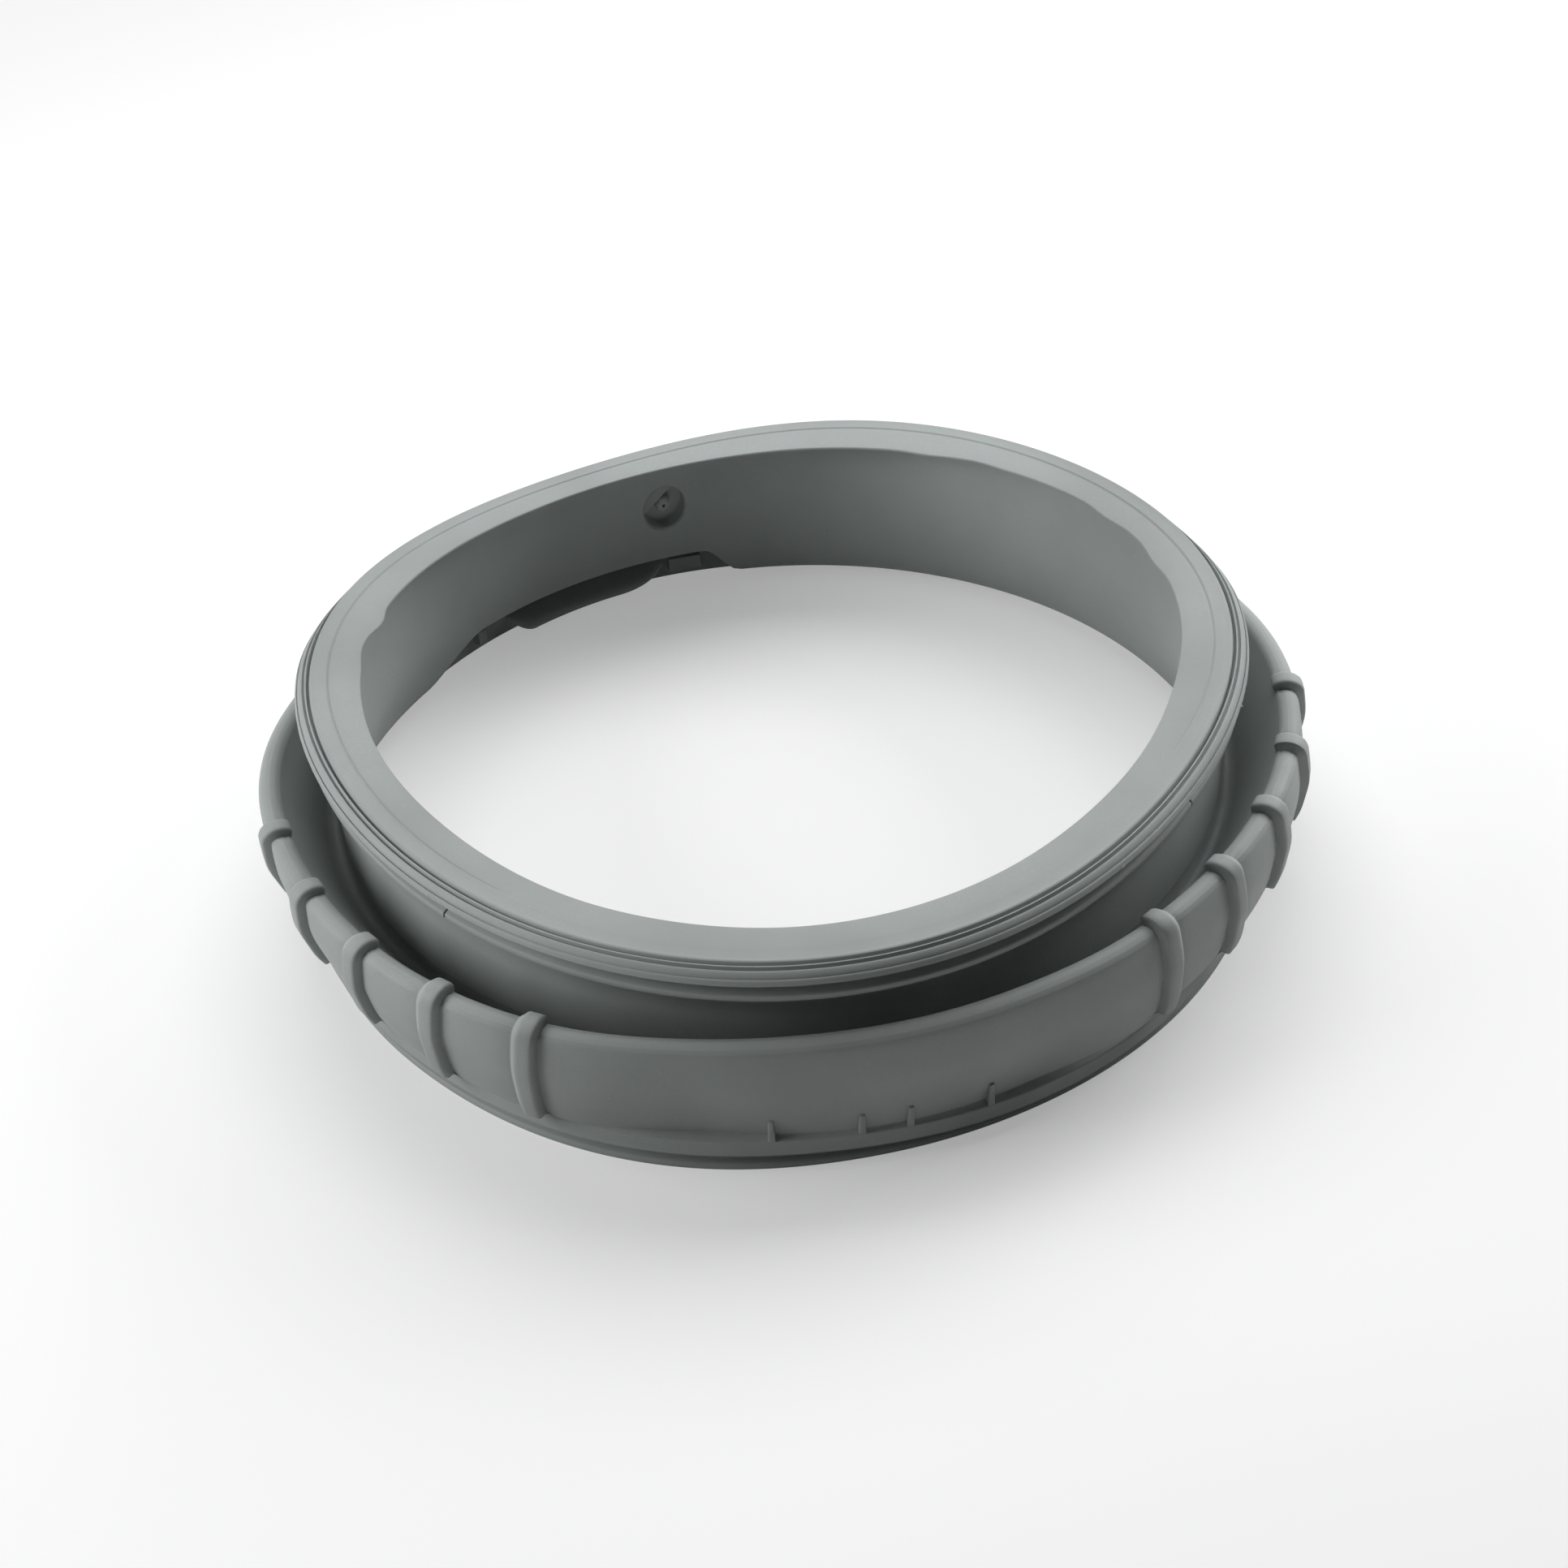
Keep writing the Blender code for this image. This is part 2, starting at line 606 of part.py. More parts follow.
def make_shield(frame, bore):
    """Thin plate over the upper part of the cup, cut off along a chord."""
    reach = bore + 0.6 * MM
    chord = reach * (1.0 - 2.0 * SHIELD_SHARE)
    half = math.degrees(math.acos(chord / reach))
    rim = arc((0.0, 0.0), reach, SHIELD_TILT - half, SHIELD_TILT + half, 10)
    rows = []
    for depth in (0.6 * MM, 0.6 * MM + SHIELD_THICKNESS):
        rows.append([frame @ Vector((across, up, depth)) for across, up in rim])
    return loft("shield", rows, False)


def rubber():
    material = bpy.data.materials.new("grey_rubber")
    material.use_nodes = True
    shader = material.node_tree.nodes["Principled BSDF"]
    shader.inputs["Base Color"].default_value = RUBBER_COLOUR
    shader.inputs["Roughness"].default_value = RUBBER_ROUGHNESS
    shader.inputs["Metallic"].default_value = 0.0
    return material


def set_down(part):
    """Centre the part over the origin and stand it on the floor."""
    xs, ys, zs = zip(*(vertex.co for vertex in part.data.vertices))
    middle = Vector(((min(xs) + max(xs)) / 2, (min(ys) + max(ys)) / 2, min(zs)))
    part.data.transform(Matrix.Translation(-middle))


def make_seal():
    ring = make_ring()
    for away in rib_turns():
        combine(ring, make_rib(away), "UNION")
    for angle in FIN_ANGLES:
        combine(ring, make_fin(angle), "UNION")
    combine(ring, sector("notch", (NOTCH_ANGLES[0], NOTCH_ANGLES[-1]), notch_outline), "DIFFERENCE")
    combine(ring, sector("tongue", TONGUE_ANGLES, tongue_outline), "UNION")
    combine(ring, sector("lug", LUG_ANGLES, lug_outline), "UNION")
    combine(ring, sector("post", POST_ANGLES, lug_outline), "UNION")
    add_port(ring)
    set_down(ring)
    ring.name = "door_seal"
    ring.data.name = "door_seal"
    ring.data.materials.clear()
    ring.data.materials.append(rubber())
    ring.data.shade_smooth()
    ring.data.set_sharp_from_angle(angle=math.radians(38.0))
    return ring


def main():
    for item in list(bpy.data.objects):
        bpy.data.objects.remove(item)
    make_seal()


main()
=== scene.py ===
"""Finished look of a washing machine door seal, laid out as a Blender add-on.

The section's lengths are in millimetres and its angles in degrees from +X. Both are
turned into metres and radians when a mesh is made. Lights, camera and floor are in metres.
"""

import math

import bmesh
import bpy
import numpy as np
from mathutils import Matrix, Vector


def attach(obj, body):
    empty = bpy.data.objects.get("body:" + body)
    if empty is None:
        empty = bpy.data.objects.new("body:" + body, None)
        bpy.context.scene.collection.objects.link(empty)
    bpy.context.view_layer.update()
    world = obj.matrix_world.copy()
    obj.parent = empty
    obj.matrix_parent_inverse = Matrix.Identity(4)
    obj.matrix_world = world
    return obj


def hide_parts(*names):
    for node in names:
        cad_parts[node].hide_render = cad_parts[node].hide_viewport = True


bl_info = {
    "name": "Washer door seal",
    "version": (1, 0, 0),
    "blender": (4, 5, 0),
    "location": "View3D > Sidebar > Seal",
    "description": "Builds a moulded rubber door seal and its plain studio",
    "category": "Add Mesh",
}

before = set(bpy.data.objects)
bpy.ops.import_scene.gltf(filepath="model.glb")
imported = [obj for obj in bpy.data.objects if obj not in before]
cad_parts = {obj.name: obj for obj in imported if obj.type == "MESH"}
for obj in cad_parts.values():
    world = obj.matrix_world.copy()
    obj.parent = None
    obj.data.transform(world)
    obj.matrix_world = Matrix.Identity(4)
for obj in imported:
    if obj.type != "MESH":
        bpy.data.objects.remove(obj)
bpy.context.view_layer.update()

MM = 0.001
# Points nearer than these are joined, after a Boolean and before shading, in metres
WELD = 2e-5
LAST_WELD = 2e-6
NODE = "door_seal"
BODY = "root"
PIECE = "seal_ring"

# Where the centre of the tub lip lies in the frame
RING_CENTRE = (-4.404, 3.314)

# Radii from the ring's centre, heights above the floor and thicknesses
TOP = 101.5
SLOT_R = 200.0
SLOT_WIDTH = 0.5
SLOT_DEPTH = 4.2
WALL_FACE = SLOT_R - 3.3
WALL_THICK = 3.0
WALL_MIDDLE_Z = 66.0
LIP_THICK = 1.5
TRENCH_Z = 38.0
CREST_R = 221.0
CREST_Z = 75.0
CREST_ROUND = 5.2
FACE_R = CREST_R + CREST_ROUND
RISE_START = WALL_FACE + 5.8
RISE_R = CREST_R - CREST_ROUND - 0.4
SKIN = 3.0
FOOT_Z = 22.5
FOOT_INSET = 6.0
FACE_MIDDLE_Z = (CREST_Z + FOOT_Z) / 2 + 4.0
LOWER_FACE_R = FACE_R - 0.45 * FOOT_INSET
LOWER_FACE_Z = FOOT_Z + 9.0
RIB_END_Z = 23.5
LEDGE_R = 217.0
LEDGE_TOP = 17.8
LEDGE_LOW = 10.0
TUB_R = 214.8
GROOVE_R = 211.4
WEB_R = 209.8
SLEEVE_R = 200.0
SLEEVE_Z = 6.8
SLEEVE_THICK = 1.9

# Distances down from the top of the flange
RECESS_TOP = 7.2
RECESS_LOW = 10.8
LOWER_LIP_TOP = 13.0
LOWER_LIP_EDGE = 15.4
WAVES_FULL = 13.2
RECESS_NECK = 1.4

# Waves are (count, size, peak angle), swells are (size, angle, spread)
FLANGE_WAVES = ((1, 1.9, -94.0), (3, 3.4, 38.0), (4, 2.2, -6.0), (5, 1.1, 8.5))
LIP_WAVES = ((1, 2.2, 80.0), (3, 0.9, -55.0), (4, 1.3, -17.0))
FLANGE_SAG = ((-11.0, 112.0, 88.0),)
CREST_SWELLS = ((5.0, -124.0, 40.0), (3.4, -160.0, 42.0), (3.5, -18.0, 32.0))
FOOT_SWELLS = ((7.0, -3.0, 44.0), (-1.8, -155.0, 25.0), (3.0, -77.0, 35.0))
FOOT_DROPS = ((3.0, -119.0, 24.0),)
LEDGE_SWELLS = ((2.2, -110.0, 30.0), (2.2, -62.0, 35.0), (3.7, 118.0, 50.0))
TUB_SWELLS = ((2.2, -110.0, 30.0), (-1.5, -68.0, 35.0), (3.7, 118.0, 50.0))
# Slow ripples and short kinks of the sealing edge
LIP_RIPPLES = ((-1.8, -140.0, 28.0), (1.8, -32.0, 24.0), (1.2, 113.0, 26.0), (-0.8, -70.0, 24.0))
LIP_KINKS = (
    (-2.6, 166.5, 4.5),
    (1.5, 173.5, 6.0),
    (-1.7, 13.5, 5.5),
    (-1.6, 27.0, 5.5),
    (1.0, 53.0, 6.0),
    (-1.1, 62.0, 5.5),
)
SLEEVE_OVAL = 3.0
SLEEVE_OVAL_MEAN = 0.4

# At the rear the outer lip is tucked in and lower
REAR_LIP_MIDDLE = 90.0
REAR_LIP_HALF = 76.0
REAR_LIP_FADE = 22.0
REAR_LIP_TUCK = 0.6
REAR_LIP_DROP = 2.0

# The fold is flat at the front, whole at the sides and lower at the rear
FRONT = -83.0
FLAT_HALF = 33.0
FLAT_FADE = 17.0
FLAT_DEPTH = 7.3
FLAT_AT_CREST = 0.2
FLAT_FOOT_DROP = 3.3
FOOT_BEND = 8
FOLD_WHOLE = 80.0
FOLD_FADE = 50.0
REAR_SHARE = 0.5
REAR_INSET = 9.0

# Moulded line of the flange: angle where it begins on each side, and degrees to full depth
LINE_LEFT = (-121.0, 14.0)
LINE_RIGHT = (-36.0, 16.0)
# Lower line of the outer lip: share of depth at the front and what the sides add, and
# the degrees from the front over which they do
SIDE_LINE = (0.25, 0.55)
SIDE_LINE_FROM = 25.0
SIDE_LINE_FADE = 30.0

# Ribs of each side, in degrees from the front, how far their feet lean away from it
# and where that lean is whole and gone, and the soft crease beside each rib
RIB_FIRST = 33.8
RIB_PITCH = 11.1
RIBS_PER_SIDE = 5
RIB_SPLAY = 0.06
SPLAY_FULL = 85.0
SPLAY_GONE = 150.0
CREASE_DEPTH = 0.6
CREASE_WIDTH = 2.6
CREASE_FROM = 0.1

# Gussets: height over the ledge, how far below that their inner edge meets the fold,
# thickness of foot to top, depth of their root in the ledge, and bevel
FIN_ANGLES = (-93.4, -84.0, -78.9, -70.1)
FIN_HEIGHT = 13.0
FIN_MEET = 3.5
FIN_FLARE = 1.5
FIN_ROOT = 4.0
FIN_SOFT = 0.25

# Angles where the notch in the sleeve starts, is whole, fades and ends
NOTCH = (94.0, 99.0, 135.0, 147.0)
NOTCH_Z = 22.0
# Drain tongue: its first and last angle, and the degrees in which each end narrows
TONGUE = (104.7, 129.0)
TONGUE_ENDS = (7.5, 2.6)
TONGUE_END_SHARE = 0.1
TONGUE_STEPS = 48
TONGUE_REACH = 15.5
TONGUE_ROOT_Z = 14.0
TONGUE_ROOT_THICK = 2.2
TONGUE_FALL = 5.5
ROOT_IN_WEB = 1.2
# Broad and narrow lug behind the notch
LUG = (99.3, 103.9)
POST = (133.2, 134.6)
LUG_STEPS = 4
LUG_REACH = 6.0
LUG_HEIGHTS = (5.0, 13.0)
LUG_SOFT = 0.3

# Port: its place, the height over which the wall's lean is read there, how much taller
# than wide it is, its depth outward, its walls and where its cutters start
PORT_ANGLE = 104.7
PORT_Z = 60.0
PORT_RISE = 19.5
PORT_STRETCH = 1.35
PORT_REACH = 9.0
PORT_SHELL = 2.2
PORT_FLOOR = 1.8
PORT_OPEN = -4.0
NIPPLE_HOLE = 0.8
# Half shield: share of the bore its chord stands from the middle, the chord's turn,
# and the depth and slope of its face
SHIELD_CHORD = 0.45
SHIELD_TURN = 51.0
SHIELD_DEPTH = 0.5
SHIELD_SLOPE = 0.55
SHIELD_STEPS = 20
ROUND_STEPS = 64
SMALL_STEPS = 32

# Two narrow cuts across the lower lip, and the torn bits (angle, size) on the outer lip
SEAMS = (-132.2, -34.3)
SEAM_DEPTH = 3.2
SEAM_HALF = 0.45
FLASH_SEED = 11
FLASH_DEPTH = 0.14
FLASH_BITS = ((-17.5, 0.9), (-50.5, 0.5), (-134.0, 0.5), (-158.0, 0.4))
FLASH_PEAK = 1.6
FLASH_HALF = 0.45

# Degrees between the section's copies, and the closer ones round ribs, cuts and bits in mm
STATION_STEP = 1.2
COARSE_STEP = 2.4
STATION_GAP = 0.25
RIB_STATIONS = (-7.6, -6.6, -5.9, -5.5, -5.25, -5.0, -4.7, -4.2, -3.4, -1.6, 0.4)
RIB_STATIONS += (1.8, 2.5, 3.2, 3.9, 4.4, 4.75, 5.0, 5.3, 5.8, 6.6, 7.6)
SEAM_STATIONS = (-0.8, -0.5, -0.4, 0.4, 0.5, 0.8)
FLASH_STATIONS = (-0.8, -0.5, 0.0, 0.4, 0.8)

# Largest share of an edge that one rounding takes, and the angles in degrees from which
# edges are bevelled and shown sharp
ROUNDING_SHARE = 0.48
BEVEL_FROM = 40.0
SHARP_FROM = 50.0

# The photograph's camera: focal length and centre in pixels of a square frame
FRAME_PX = 1932
FOCAL_PX = 3215
CENTRE_PX = (965.0, 1011.5)
CAMERA_LIFT = 38.8
CAMERA_ROLL = 4.0
CAMERA_DISTANCE = 1.2
SENSOR = 36.0

# Name, place, target, size and watts of each soft panel
LIGHTS = (
    ("top_light", (0.0, 0.75, 1.36), (0.0, 0.05, 0.0), (1.5, 1.2), 18.5),
    ("right_light", (1.20, 0.68, 0.75), (0.0, 0.0, 0.05), (0.9, 0.9), 16.5),
    ("left_light", (-1.33, -0.20, 0.64), (0.0, 0.0, 0.05), (0.9, 0.8), 15.0),
)
# Strength of the air's light low and high, the height it changes from, and the white
# seen behind the floor
AIR_LIGHT = (0.06, 0.05)
AIR_FROM = -0.1
BACK_WHITE = 0.97

# Share of light the floor throws back on the rubber
BOUNCE = 0.64

# The floor as the camera sees it: its white, how much of that is plain paper white
# near the seal, and between which distances it becomes all of it
FLOOR_HALF = 14.0
FLOOR_CELLS = 8
FLOOR_WHITE = 0.97
WHITE_SHARE = 0.36
WHITE_FADE = (0.6, 1.8)


def smooth(value):
    """Ease from 0 to 1."""
    value = np.clip(value, 0.0, 1.0)
    return value * value * (3.0 - 2.0 * value)


def turn_between(angle, other):
    """Signed turn from the other angle, the short way round."""
    return (angle - other + 180.0) % 360.0 - 180.0


def bump(angle, centre, spread):
    """1 at the centre, easing to 0 at the spread on either side."""
    share = np.minimum(np.abs(turn_between(angle, centre)) / spread, 1.0)
    return 0.5 + 0.5 * np.cos(np.pi * share)


def waves(angle, terms):
    return sum(size * np.cos(np.radians(count * (angle - peak))) for count, size, peak in terms)


def swells(angle, terms):
    return sum(size * bump(angle, centre, spread) for size, centre, spread in terms)


def fold_share(angle):
    """1 where the fold stands whole, 0 where it is lowered at the rear."""
    away = np.abs(turn_between(angle, FRONT)) - FOLD_WHOLE
    return 1.0 - smooth(away / FOLD_FADE)


def flat_share(angle):
    """1 over the flat front of the fold."""
    return smooth((FLAT_HALF - np.abs(turn_between(angle, FRONT))) / FLAT_FADE)


def rear_share(angle):
    """1 where the outer lip is tucked in at the rear."""
    away = np.abs(turn_between(angle, REAR_LIP_MIDDLE)) - REAR_LIP_HALF
    return 1.0 - smooth(away / REAR_LIP_FADE + 0.5)


def notch_share(angle):
    """1 over the notch in the sleeve."""
    start, full, fading, end = NOTCH
    return np.minimum(smooth((angle - start) / (full - start)), smooth((end - angle) / (end - fading)))


def splay(angle, drop):
    """The angle of the fold at a drop below its crest, ribs leaning away from the front."""
    away = turn_between(angle, FRONT)
    fade = 1.0 - smooth((np.abs(away) - SPLAY_FULL) / (SPLAY_GONE - SPLAY_FULL))
    return angle + away * RIB_SPLAY * drop * fade


def place_upper(radius, height, angle):
    """Radius and height of a point of the flange, wall or sleeve with its waves."""
    full = TOP - WAVES_FULL
    share = smooth((height - TRENCH_Z) / (full - TRENCH_Z))
    low = 1.0 - smooth((height - SLEEVE_Z) / (TRENCH_Z - SLEEVE_Z))
    oval = SLEEVE_OVAL * (SLEEVE_OVAL_MEAN + np.cos(np.radians(2.0 * angle)))
    moved = radius + share * waves(angle, FLANGE_WAVES) + low * oval
    return moved, height + share * swells(angle, FLANGE_SAG)


def place_fold(radius, height, angle):
    """Radius and height of a point of the fold with its swells, flat front and low rear."""
    rise = np.clip((height - TRENCH_Z) / (CREST_Z - TRENCH_Z), 0.0, 1.0)
    drop = 1.0 - np.clip((height - FOOT_Z) / (CREST_Z - FOOT_Z), 0.0, 1.0)
    out = np.clip((radius - SLOT_R) / (CREST_R - SLOT_R), 0.0, 1.0)
    inner = radius < CREST_R - CREST_ROUND
    moved = radius - REAR_INSET * (1.0 - fold_share(angle)) * out
    crest = swells(angle, CREST_SWELLS)
    flat = FLAT_DEPTH * flat_share(angle)
    press = FLAT_AT_CREST + (1.0 - FLAT_AT_CREST) * smooth(drop)
    shift_in = rise * (crest - flat * FLAT_AT_CREST)
    shift_out = (1.0 - drop) * crest + drop * swells(angle, FOOT_SWELLS) - flat * press
    moved = moved + np.where(inner, shift_in, shift_out)
    keep = REAR_SHARE + (1.0 - REAR_SHARE) * fold_share(angle)
    lowered = np.where(height > TRENCH_Z, TRENCH_Z + keep * (height - TRENCH_Z), height)
    foot_drop = FLAT_FOOT_DROP * flat_share(angle) + swells(angle, FOOT_DROPS)
    return moved, lowered - foot_drop * drop**FOOT_BEND


def rib_places():
    """Signed angles of the ribs from the middle of the front."""
    away = [RIB_FIRST + index * RIB_PITCH for index in range(RIBS_PER_SIDE)]
    return [-value for value in away] + away


def beside(angle, offsets, radius):
    """Angles at offsets in mm to both sides of one angle."""
    return [angle + math.degrees(offset / radius) for offset in offsets]


def station_angles(coarse):
    """Angles of the section's copies, closer together round ribs, cuts and torn bits."""
    special = []
    for away in rib_places():
        sign = math.copysign(1.0, away)
        special.append(beside(FRONT + away, [sign * offset for offset in RIB_STATIONS], FACE_R))
    special += [beside(seam, SEAM_STATIONS, SLOT_R) for seam in SEAMS]
    special += [beside(place, FLASH_STATIONS, SLOT_R) for place, _ in FLASH_BITS]
    angles = list(np.arange(-180.0, 180.0, COARSE_STEP if coarse else STATION_STEP))
    for cluster in special:
        low, high = min(cluster) - STATION_GAP, max(cluster) + STATION_GAP
        turns = (0.0, -360.0, 360.0)
        angles = [angle for angle in angles if not any(low < angle + turn < high for turn in turns)]
        angles += [(angle + 180.0) % 360.0 - 180.0 for angle in cluster]
    return np.array(sorted(angles))


# A corner of the section is a radius, height, angle and rib share at every station,
# and then the size of its rounding and the steps in it. Each part below lists its
# corners in order as (radius, height, rounding, steps).


def upper_corners(angle, shape):
    """Corners of the flange, lips, wall or sleeve, with their waves."""
    zero = np.zeros_like(angle)
    corners = []
    for radius, height, rounding, steps in shape:
        moved = place_upper(radius + zero, height + zero, angle)
        corners.append((moved[0], moved[1], angle, zero, rounding, steps))
    return corners


def fold_corners(angle, shape):
    """Corners of the fold, with a rib share and a drop below the crest after the steps."""
    zero = np.zeros_like(angle)
    corners = []
    for radius, height, rounding, steps, rib, drop in shape:
        turned = splay(angle, drop)
        moved = place_fold(radius + zero, height + zero, turned)
        corners.append((moved[0], moved[1], turned, rib + zero, rounding, steps))
    return corners


def foot_corners(angle, shape, terms):
    """Corners of the ledge or the tub lip, with their swells."""
    zero = np.zeros_like(angle)
    moves = swells(angle, terms)
    corners = []
    for radius, height, rounding, steps in shape:
        corners.append((radius + zero + moves, height + zero, angle, zero, rounding, steps))
    return corners


def flange_part(angle):
    """From the thin sealing edge over the moulded line to the bottom of the slot."""
    size = bpy.context.scene.seal_sizes
    width = size.flange_width / MM + waves(angle, LIP_WAVES)
    edge = SLOT_R - width + swells(angle, LIP_RIPPLES) + swells(angle, LIP_KINKS)
    line = size.line_depth / MM * line_share(angle)
    shape = (
        (edge, TOP - LIP_THICK + 0.1, 0.5, 2),
        (edge + 0.1, TOP - 0.15, 0.5, 2),
        (SLOT_R - 9.7, TOP + 0.1, 0.3, 1),
        (SLOT_R - 9.3, TOP + 0.1 - line, 0.2, 1),
        (SLOT_R - 8.7, TOP + 0.1 - 0.8 * line, 0.2, 1),
        (SLOT_R - 8.3, TOP + 0.1 + 0.4 * line, 0.3, 1),
        (SLOT_R - 7.5, TOP + 0.05, 0.4, 1),
        (SLOT_R - 3.2, TOP - 0.1, 0.8, 1),
        (SLOT_R - 1.7, TOP + 0.2, 0.6, 2),
        (SLOT_R - 0.8, TOP - 0.5, 0.5, 1),
        (SLOT_R - 0.9, TOP - SLOT_DEPTH, 0.3, 1),
        (SLOT_R + SLOT_WIDTH, TOP - SLOT_DEPTH, 0.3, 1),
    )
    return upper_corners(angle, shape)


def outer_lip_part(angle):
    """The ridged outer lip, its corners as reach from the slot and drop from its top."""
    ridge = bpy.context.scene.seal_sizes.ridge_depth / MM
    rear = rear_share(angle)
    tuck = 1.0 - REAR_LIP_TUCK * rear
    lip_top = TOP - REAR_LIP_DROP * rear
    shape = (
        (0.0, 0.35, 0.2, 1),
        (0.7, 0.45, 0.25, 2),
        (0.85, 0.9 + 1.9 * ridge, 0.12, 1),
        (1.55, 1.0 + 1.9 * ridge, 0.12, 1),
        (1.9, 1.1, 0.4, 2),
        (3.3, 2.0, 1.2, 2),
        (4.2, 3.2, 0.4, 1),
        (4.2, 3.4 + 1.5 * ridge * side_share(angle), 0.12, 1),
        (4.8, 3.7, 0.2, 1),
        (5.5, 4.9, 0.8, 2),
        (5.65 + flash_edge(angle), 6.1, 0.12, 1),
        (2.6, 5.7, 0.5, 1),
    )
    placed = [
        (SLOT_R + SLOT_WIDTH + reach * tuck, lip_top - drop, rounding, steps)
        for reach, drop, rounding, steps in shape
    ]
    return upper_corners(angle, placed)


def wall_part(angle):
    """The recess, the lower lip with its cuts, and the wall down to the trench."""
    cut = seam_cut(angle)
    rear_drop = REAR_LIP_DROP * rear_share(angle)
    neck = SLOT_R - RECESS_NECK
    shape = (
        (neck, TOP - RECESS_TOP - rear_drop, 0.8, 1),
        (neck, TOP - RECESS_LOW, 0.8, 1),
        (SLOT_R + 2.4 - cut, TOP - LOWER_LIP_TOP + 1.0, 1.0, 1),
        (SLOT_R + 4.2 - cut, TOP - LOWER_LIP_TOP + 0.1, 0.5, 2),
        (SLOT_R + 4.3 - cut, TOP - LOWER_LIP_EDGE, 0.12, 1),
        (SLOT_R + 0.8, TOP - LOWER_LIP_EDGE + 0.2, 0.5, 1),
        (WALL_FACE + 0.1, TOP - LOWER_LIP_EDGE - 1.2, 1.0, 1),
        (WALL_FACE, WALL_MIDDLE_Z, 4.0, 1),
        (WALL_FACE, TRENCH_Z + 8.0, 0.3, 1),
        (WALL_FACE + 0.22, TRENCH_Z + 7.5, 0.12, 1),
        (WALL_FACE + 0.05, TRENCH_Z + 6.8, 0.3, 1),
        (WALL_FACE + 0.5, TRENCH_Z + 2.2, 1.2, 1),
        (WALL_FACE + 2.8, TRENCH_Z, 1.6, 2),
    )
    return upper_corners(angle, shape)


def fold_part(angle):
    """The fold's outside, up from the trench, over the crest and down to its foot."""
    rise_middle = (TRENCH_Z + CREST_Z - CREST_ROUND + 0.8) / 2
    end_r = FACE_R - 0.89 * FOOT_INSET
    shape = [
        (RISE_START, TRENCH_Z + 2.4, 1.8, 2, 0.0, 0.0),
        ((RISE_START + RISE_R) / 2, rise_middle, 4.0, 1, 0.0, 0.0),
        (RISE_R, CREST_Z - CREST_ROUND - 1.6, 2.0, 1, 0.0, 0.0),
    ]
    for degrees, rib in ((158.0, 0.0), (150.0, 0.0), (141.0, 0.75), (128.0, 1.0)):
        shape.append((*crest_point(degrees), 0.3, 1, rib, 0.0))
    for degrees, drop in ((108.0, 0.0), (86.0, 0.0), (64.0, 0.01), (42.0, 0.03), (20.0, 0.065)):
        shape.append((*crest_point(degrees), 1.2, 1, 1.0, drop))
    shape += [
        (FACE_R + 0.3, CREST_Z - CREST_ROUND - 5.0, 3.0, 2, 1.0, 0.2),
        (FACE_R + 1.0, FACE_MIDDLE_Z, 6.0, 3, 1.0, 0.42),
        (LOWER_FACE_R, LOWER_FACE_Z, 4.0, 3, 1.0, 0.83),
        (end_r, RIB_END_Z, 0.5, 2, 1.0, 1.0),
        (end_r - 0.05, RIB_END_Z - 0.35, 0.1, 1, 0.0, 1.0),
        (FACE_R - FOOT_INSET, FOOT_Z, 0.4, 1, 0.0, 1.0),
    ]
    return fold_corners(angle, shape)


def ledge_part(angle):
    """The ledge with the small bead along its lower edge."""
    shape = (
        (LEDGE_R - 0.5, LEDGE_TOP + 0.15, 0.35, 1),
        (LEDGE_R, LEDGE_TOP - 0.4, 0.3, 1),
        (LEDGE_R, LEDGE_LOW + 0.9, 0.2, 1),
        (LEDGE_R + 0.3, LEDGE_LOW + 0.6, 0.1, 1),
        (LEDGE_R - 0.6, LEDGE_LOW + 0.1, 0.2, 1),
    )
    return foot_corners(angle, shape, LEDGE_SWELLS)


def tub_part(angle):
    """The groove for the tub, its lip, and the web behind them."""
    shape = (
        (GROOVE_R, LEDGE_LOW - 0.6, 0.6, 1),
        (GROOVE_R, 3.4, 0.5, 1),
        (TUB_R - 0.9, 3.1, 0.4, 1),
        (TUB_R, 2.1, 0.25, 1),
        (TUB_R - 0.3, 0.0, 0.3, 0),
        (WEB_R + 0.4, 0.0, 0.3, 0),
        (WEB_R, 14.0, 1.0, 0),
        (WEB_R + 1.6, LEDGE_TOP, 1.0, 0),
    )
    return foot_corners(angle, shape, TUB_SWELLS)


def underside_part(angle):
    """The fold's hidden inside, back to the trench."""
    rise_middle = (RISE_START + RISE_R) / 2 + 2.6
    shape = (
        (FACE_R - FOOT_INSET - SKIN, FOOT_Z + 0.6, 1.0, 0, 0.0, 0.0),
        (FACE_R + 1.0 - SKIN, FACE_MIDDLE_Z, 5.0, 0, 0.0, 0.0),
        (FACE_R - SKIN, CREST_Z - CREST_ROUND, 1.0, 0, 0.0, 0.0),
        (CREST_R, CREST_Z - SKIN, 1.5, 0, 0.0, 0.0),
        (CREST_R - CREST_ROUND + SKIN, CREST_Z - CREST_ROUND - 0.5, 1.0, 0, 0.0, 0.0),
        (RISE_R + SKIN - 0.2, CREST_Z - CREST_ROUND - 3.0, 1.0, 0, 0.0, 0.0),
        (rise_middle, (TRENCH_Z + CREST_Z) / 2 - 3.6, 3.0, 0, 0.0, 0.0),
    )
    return fold_corners(angle, shape)


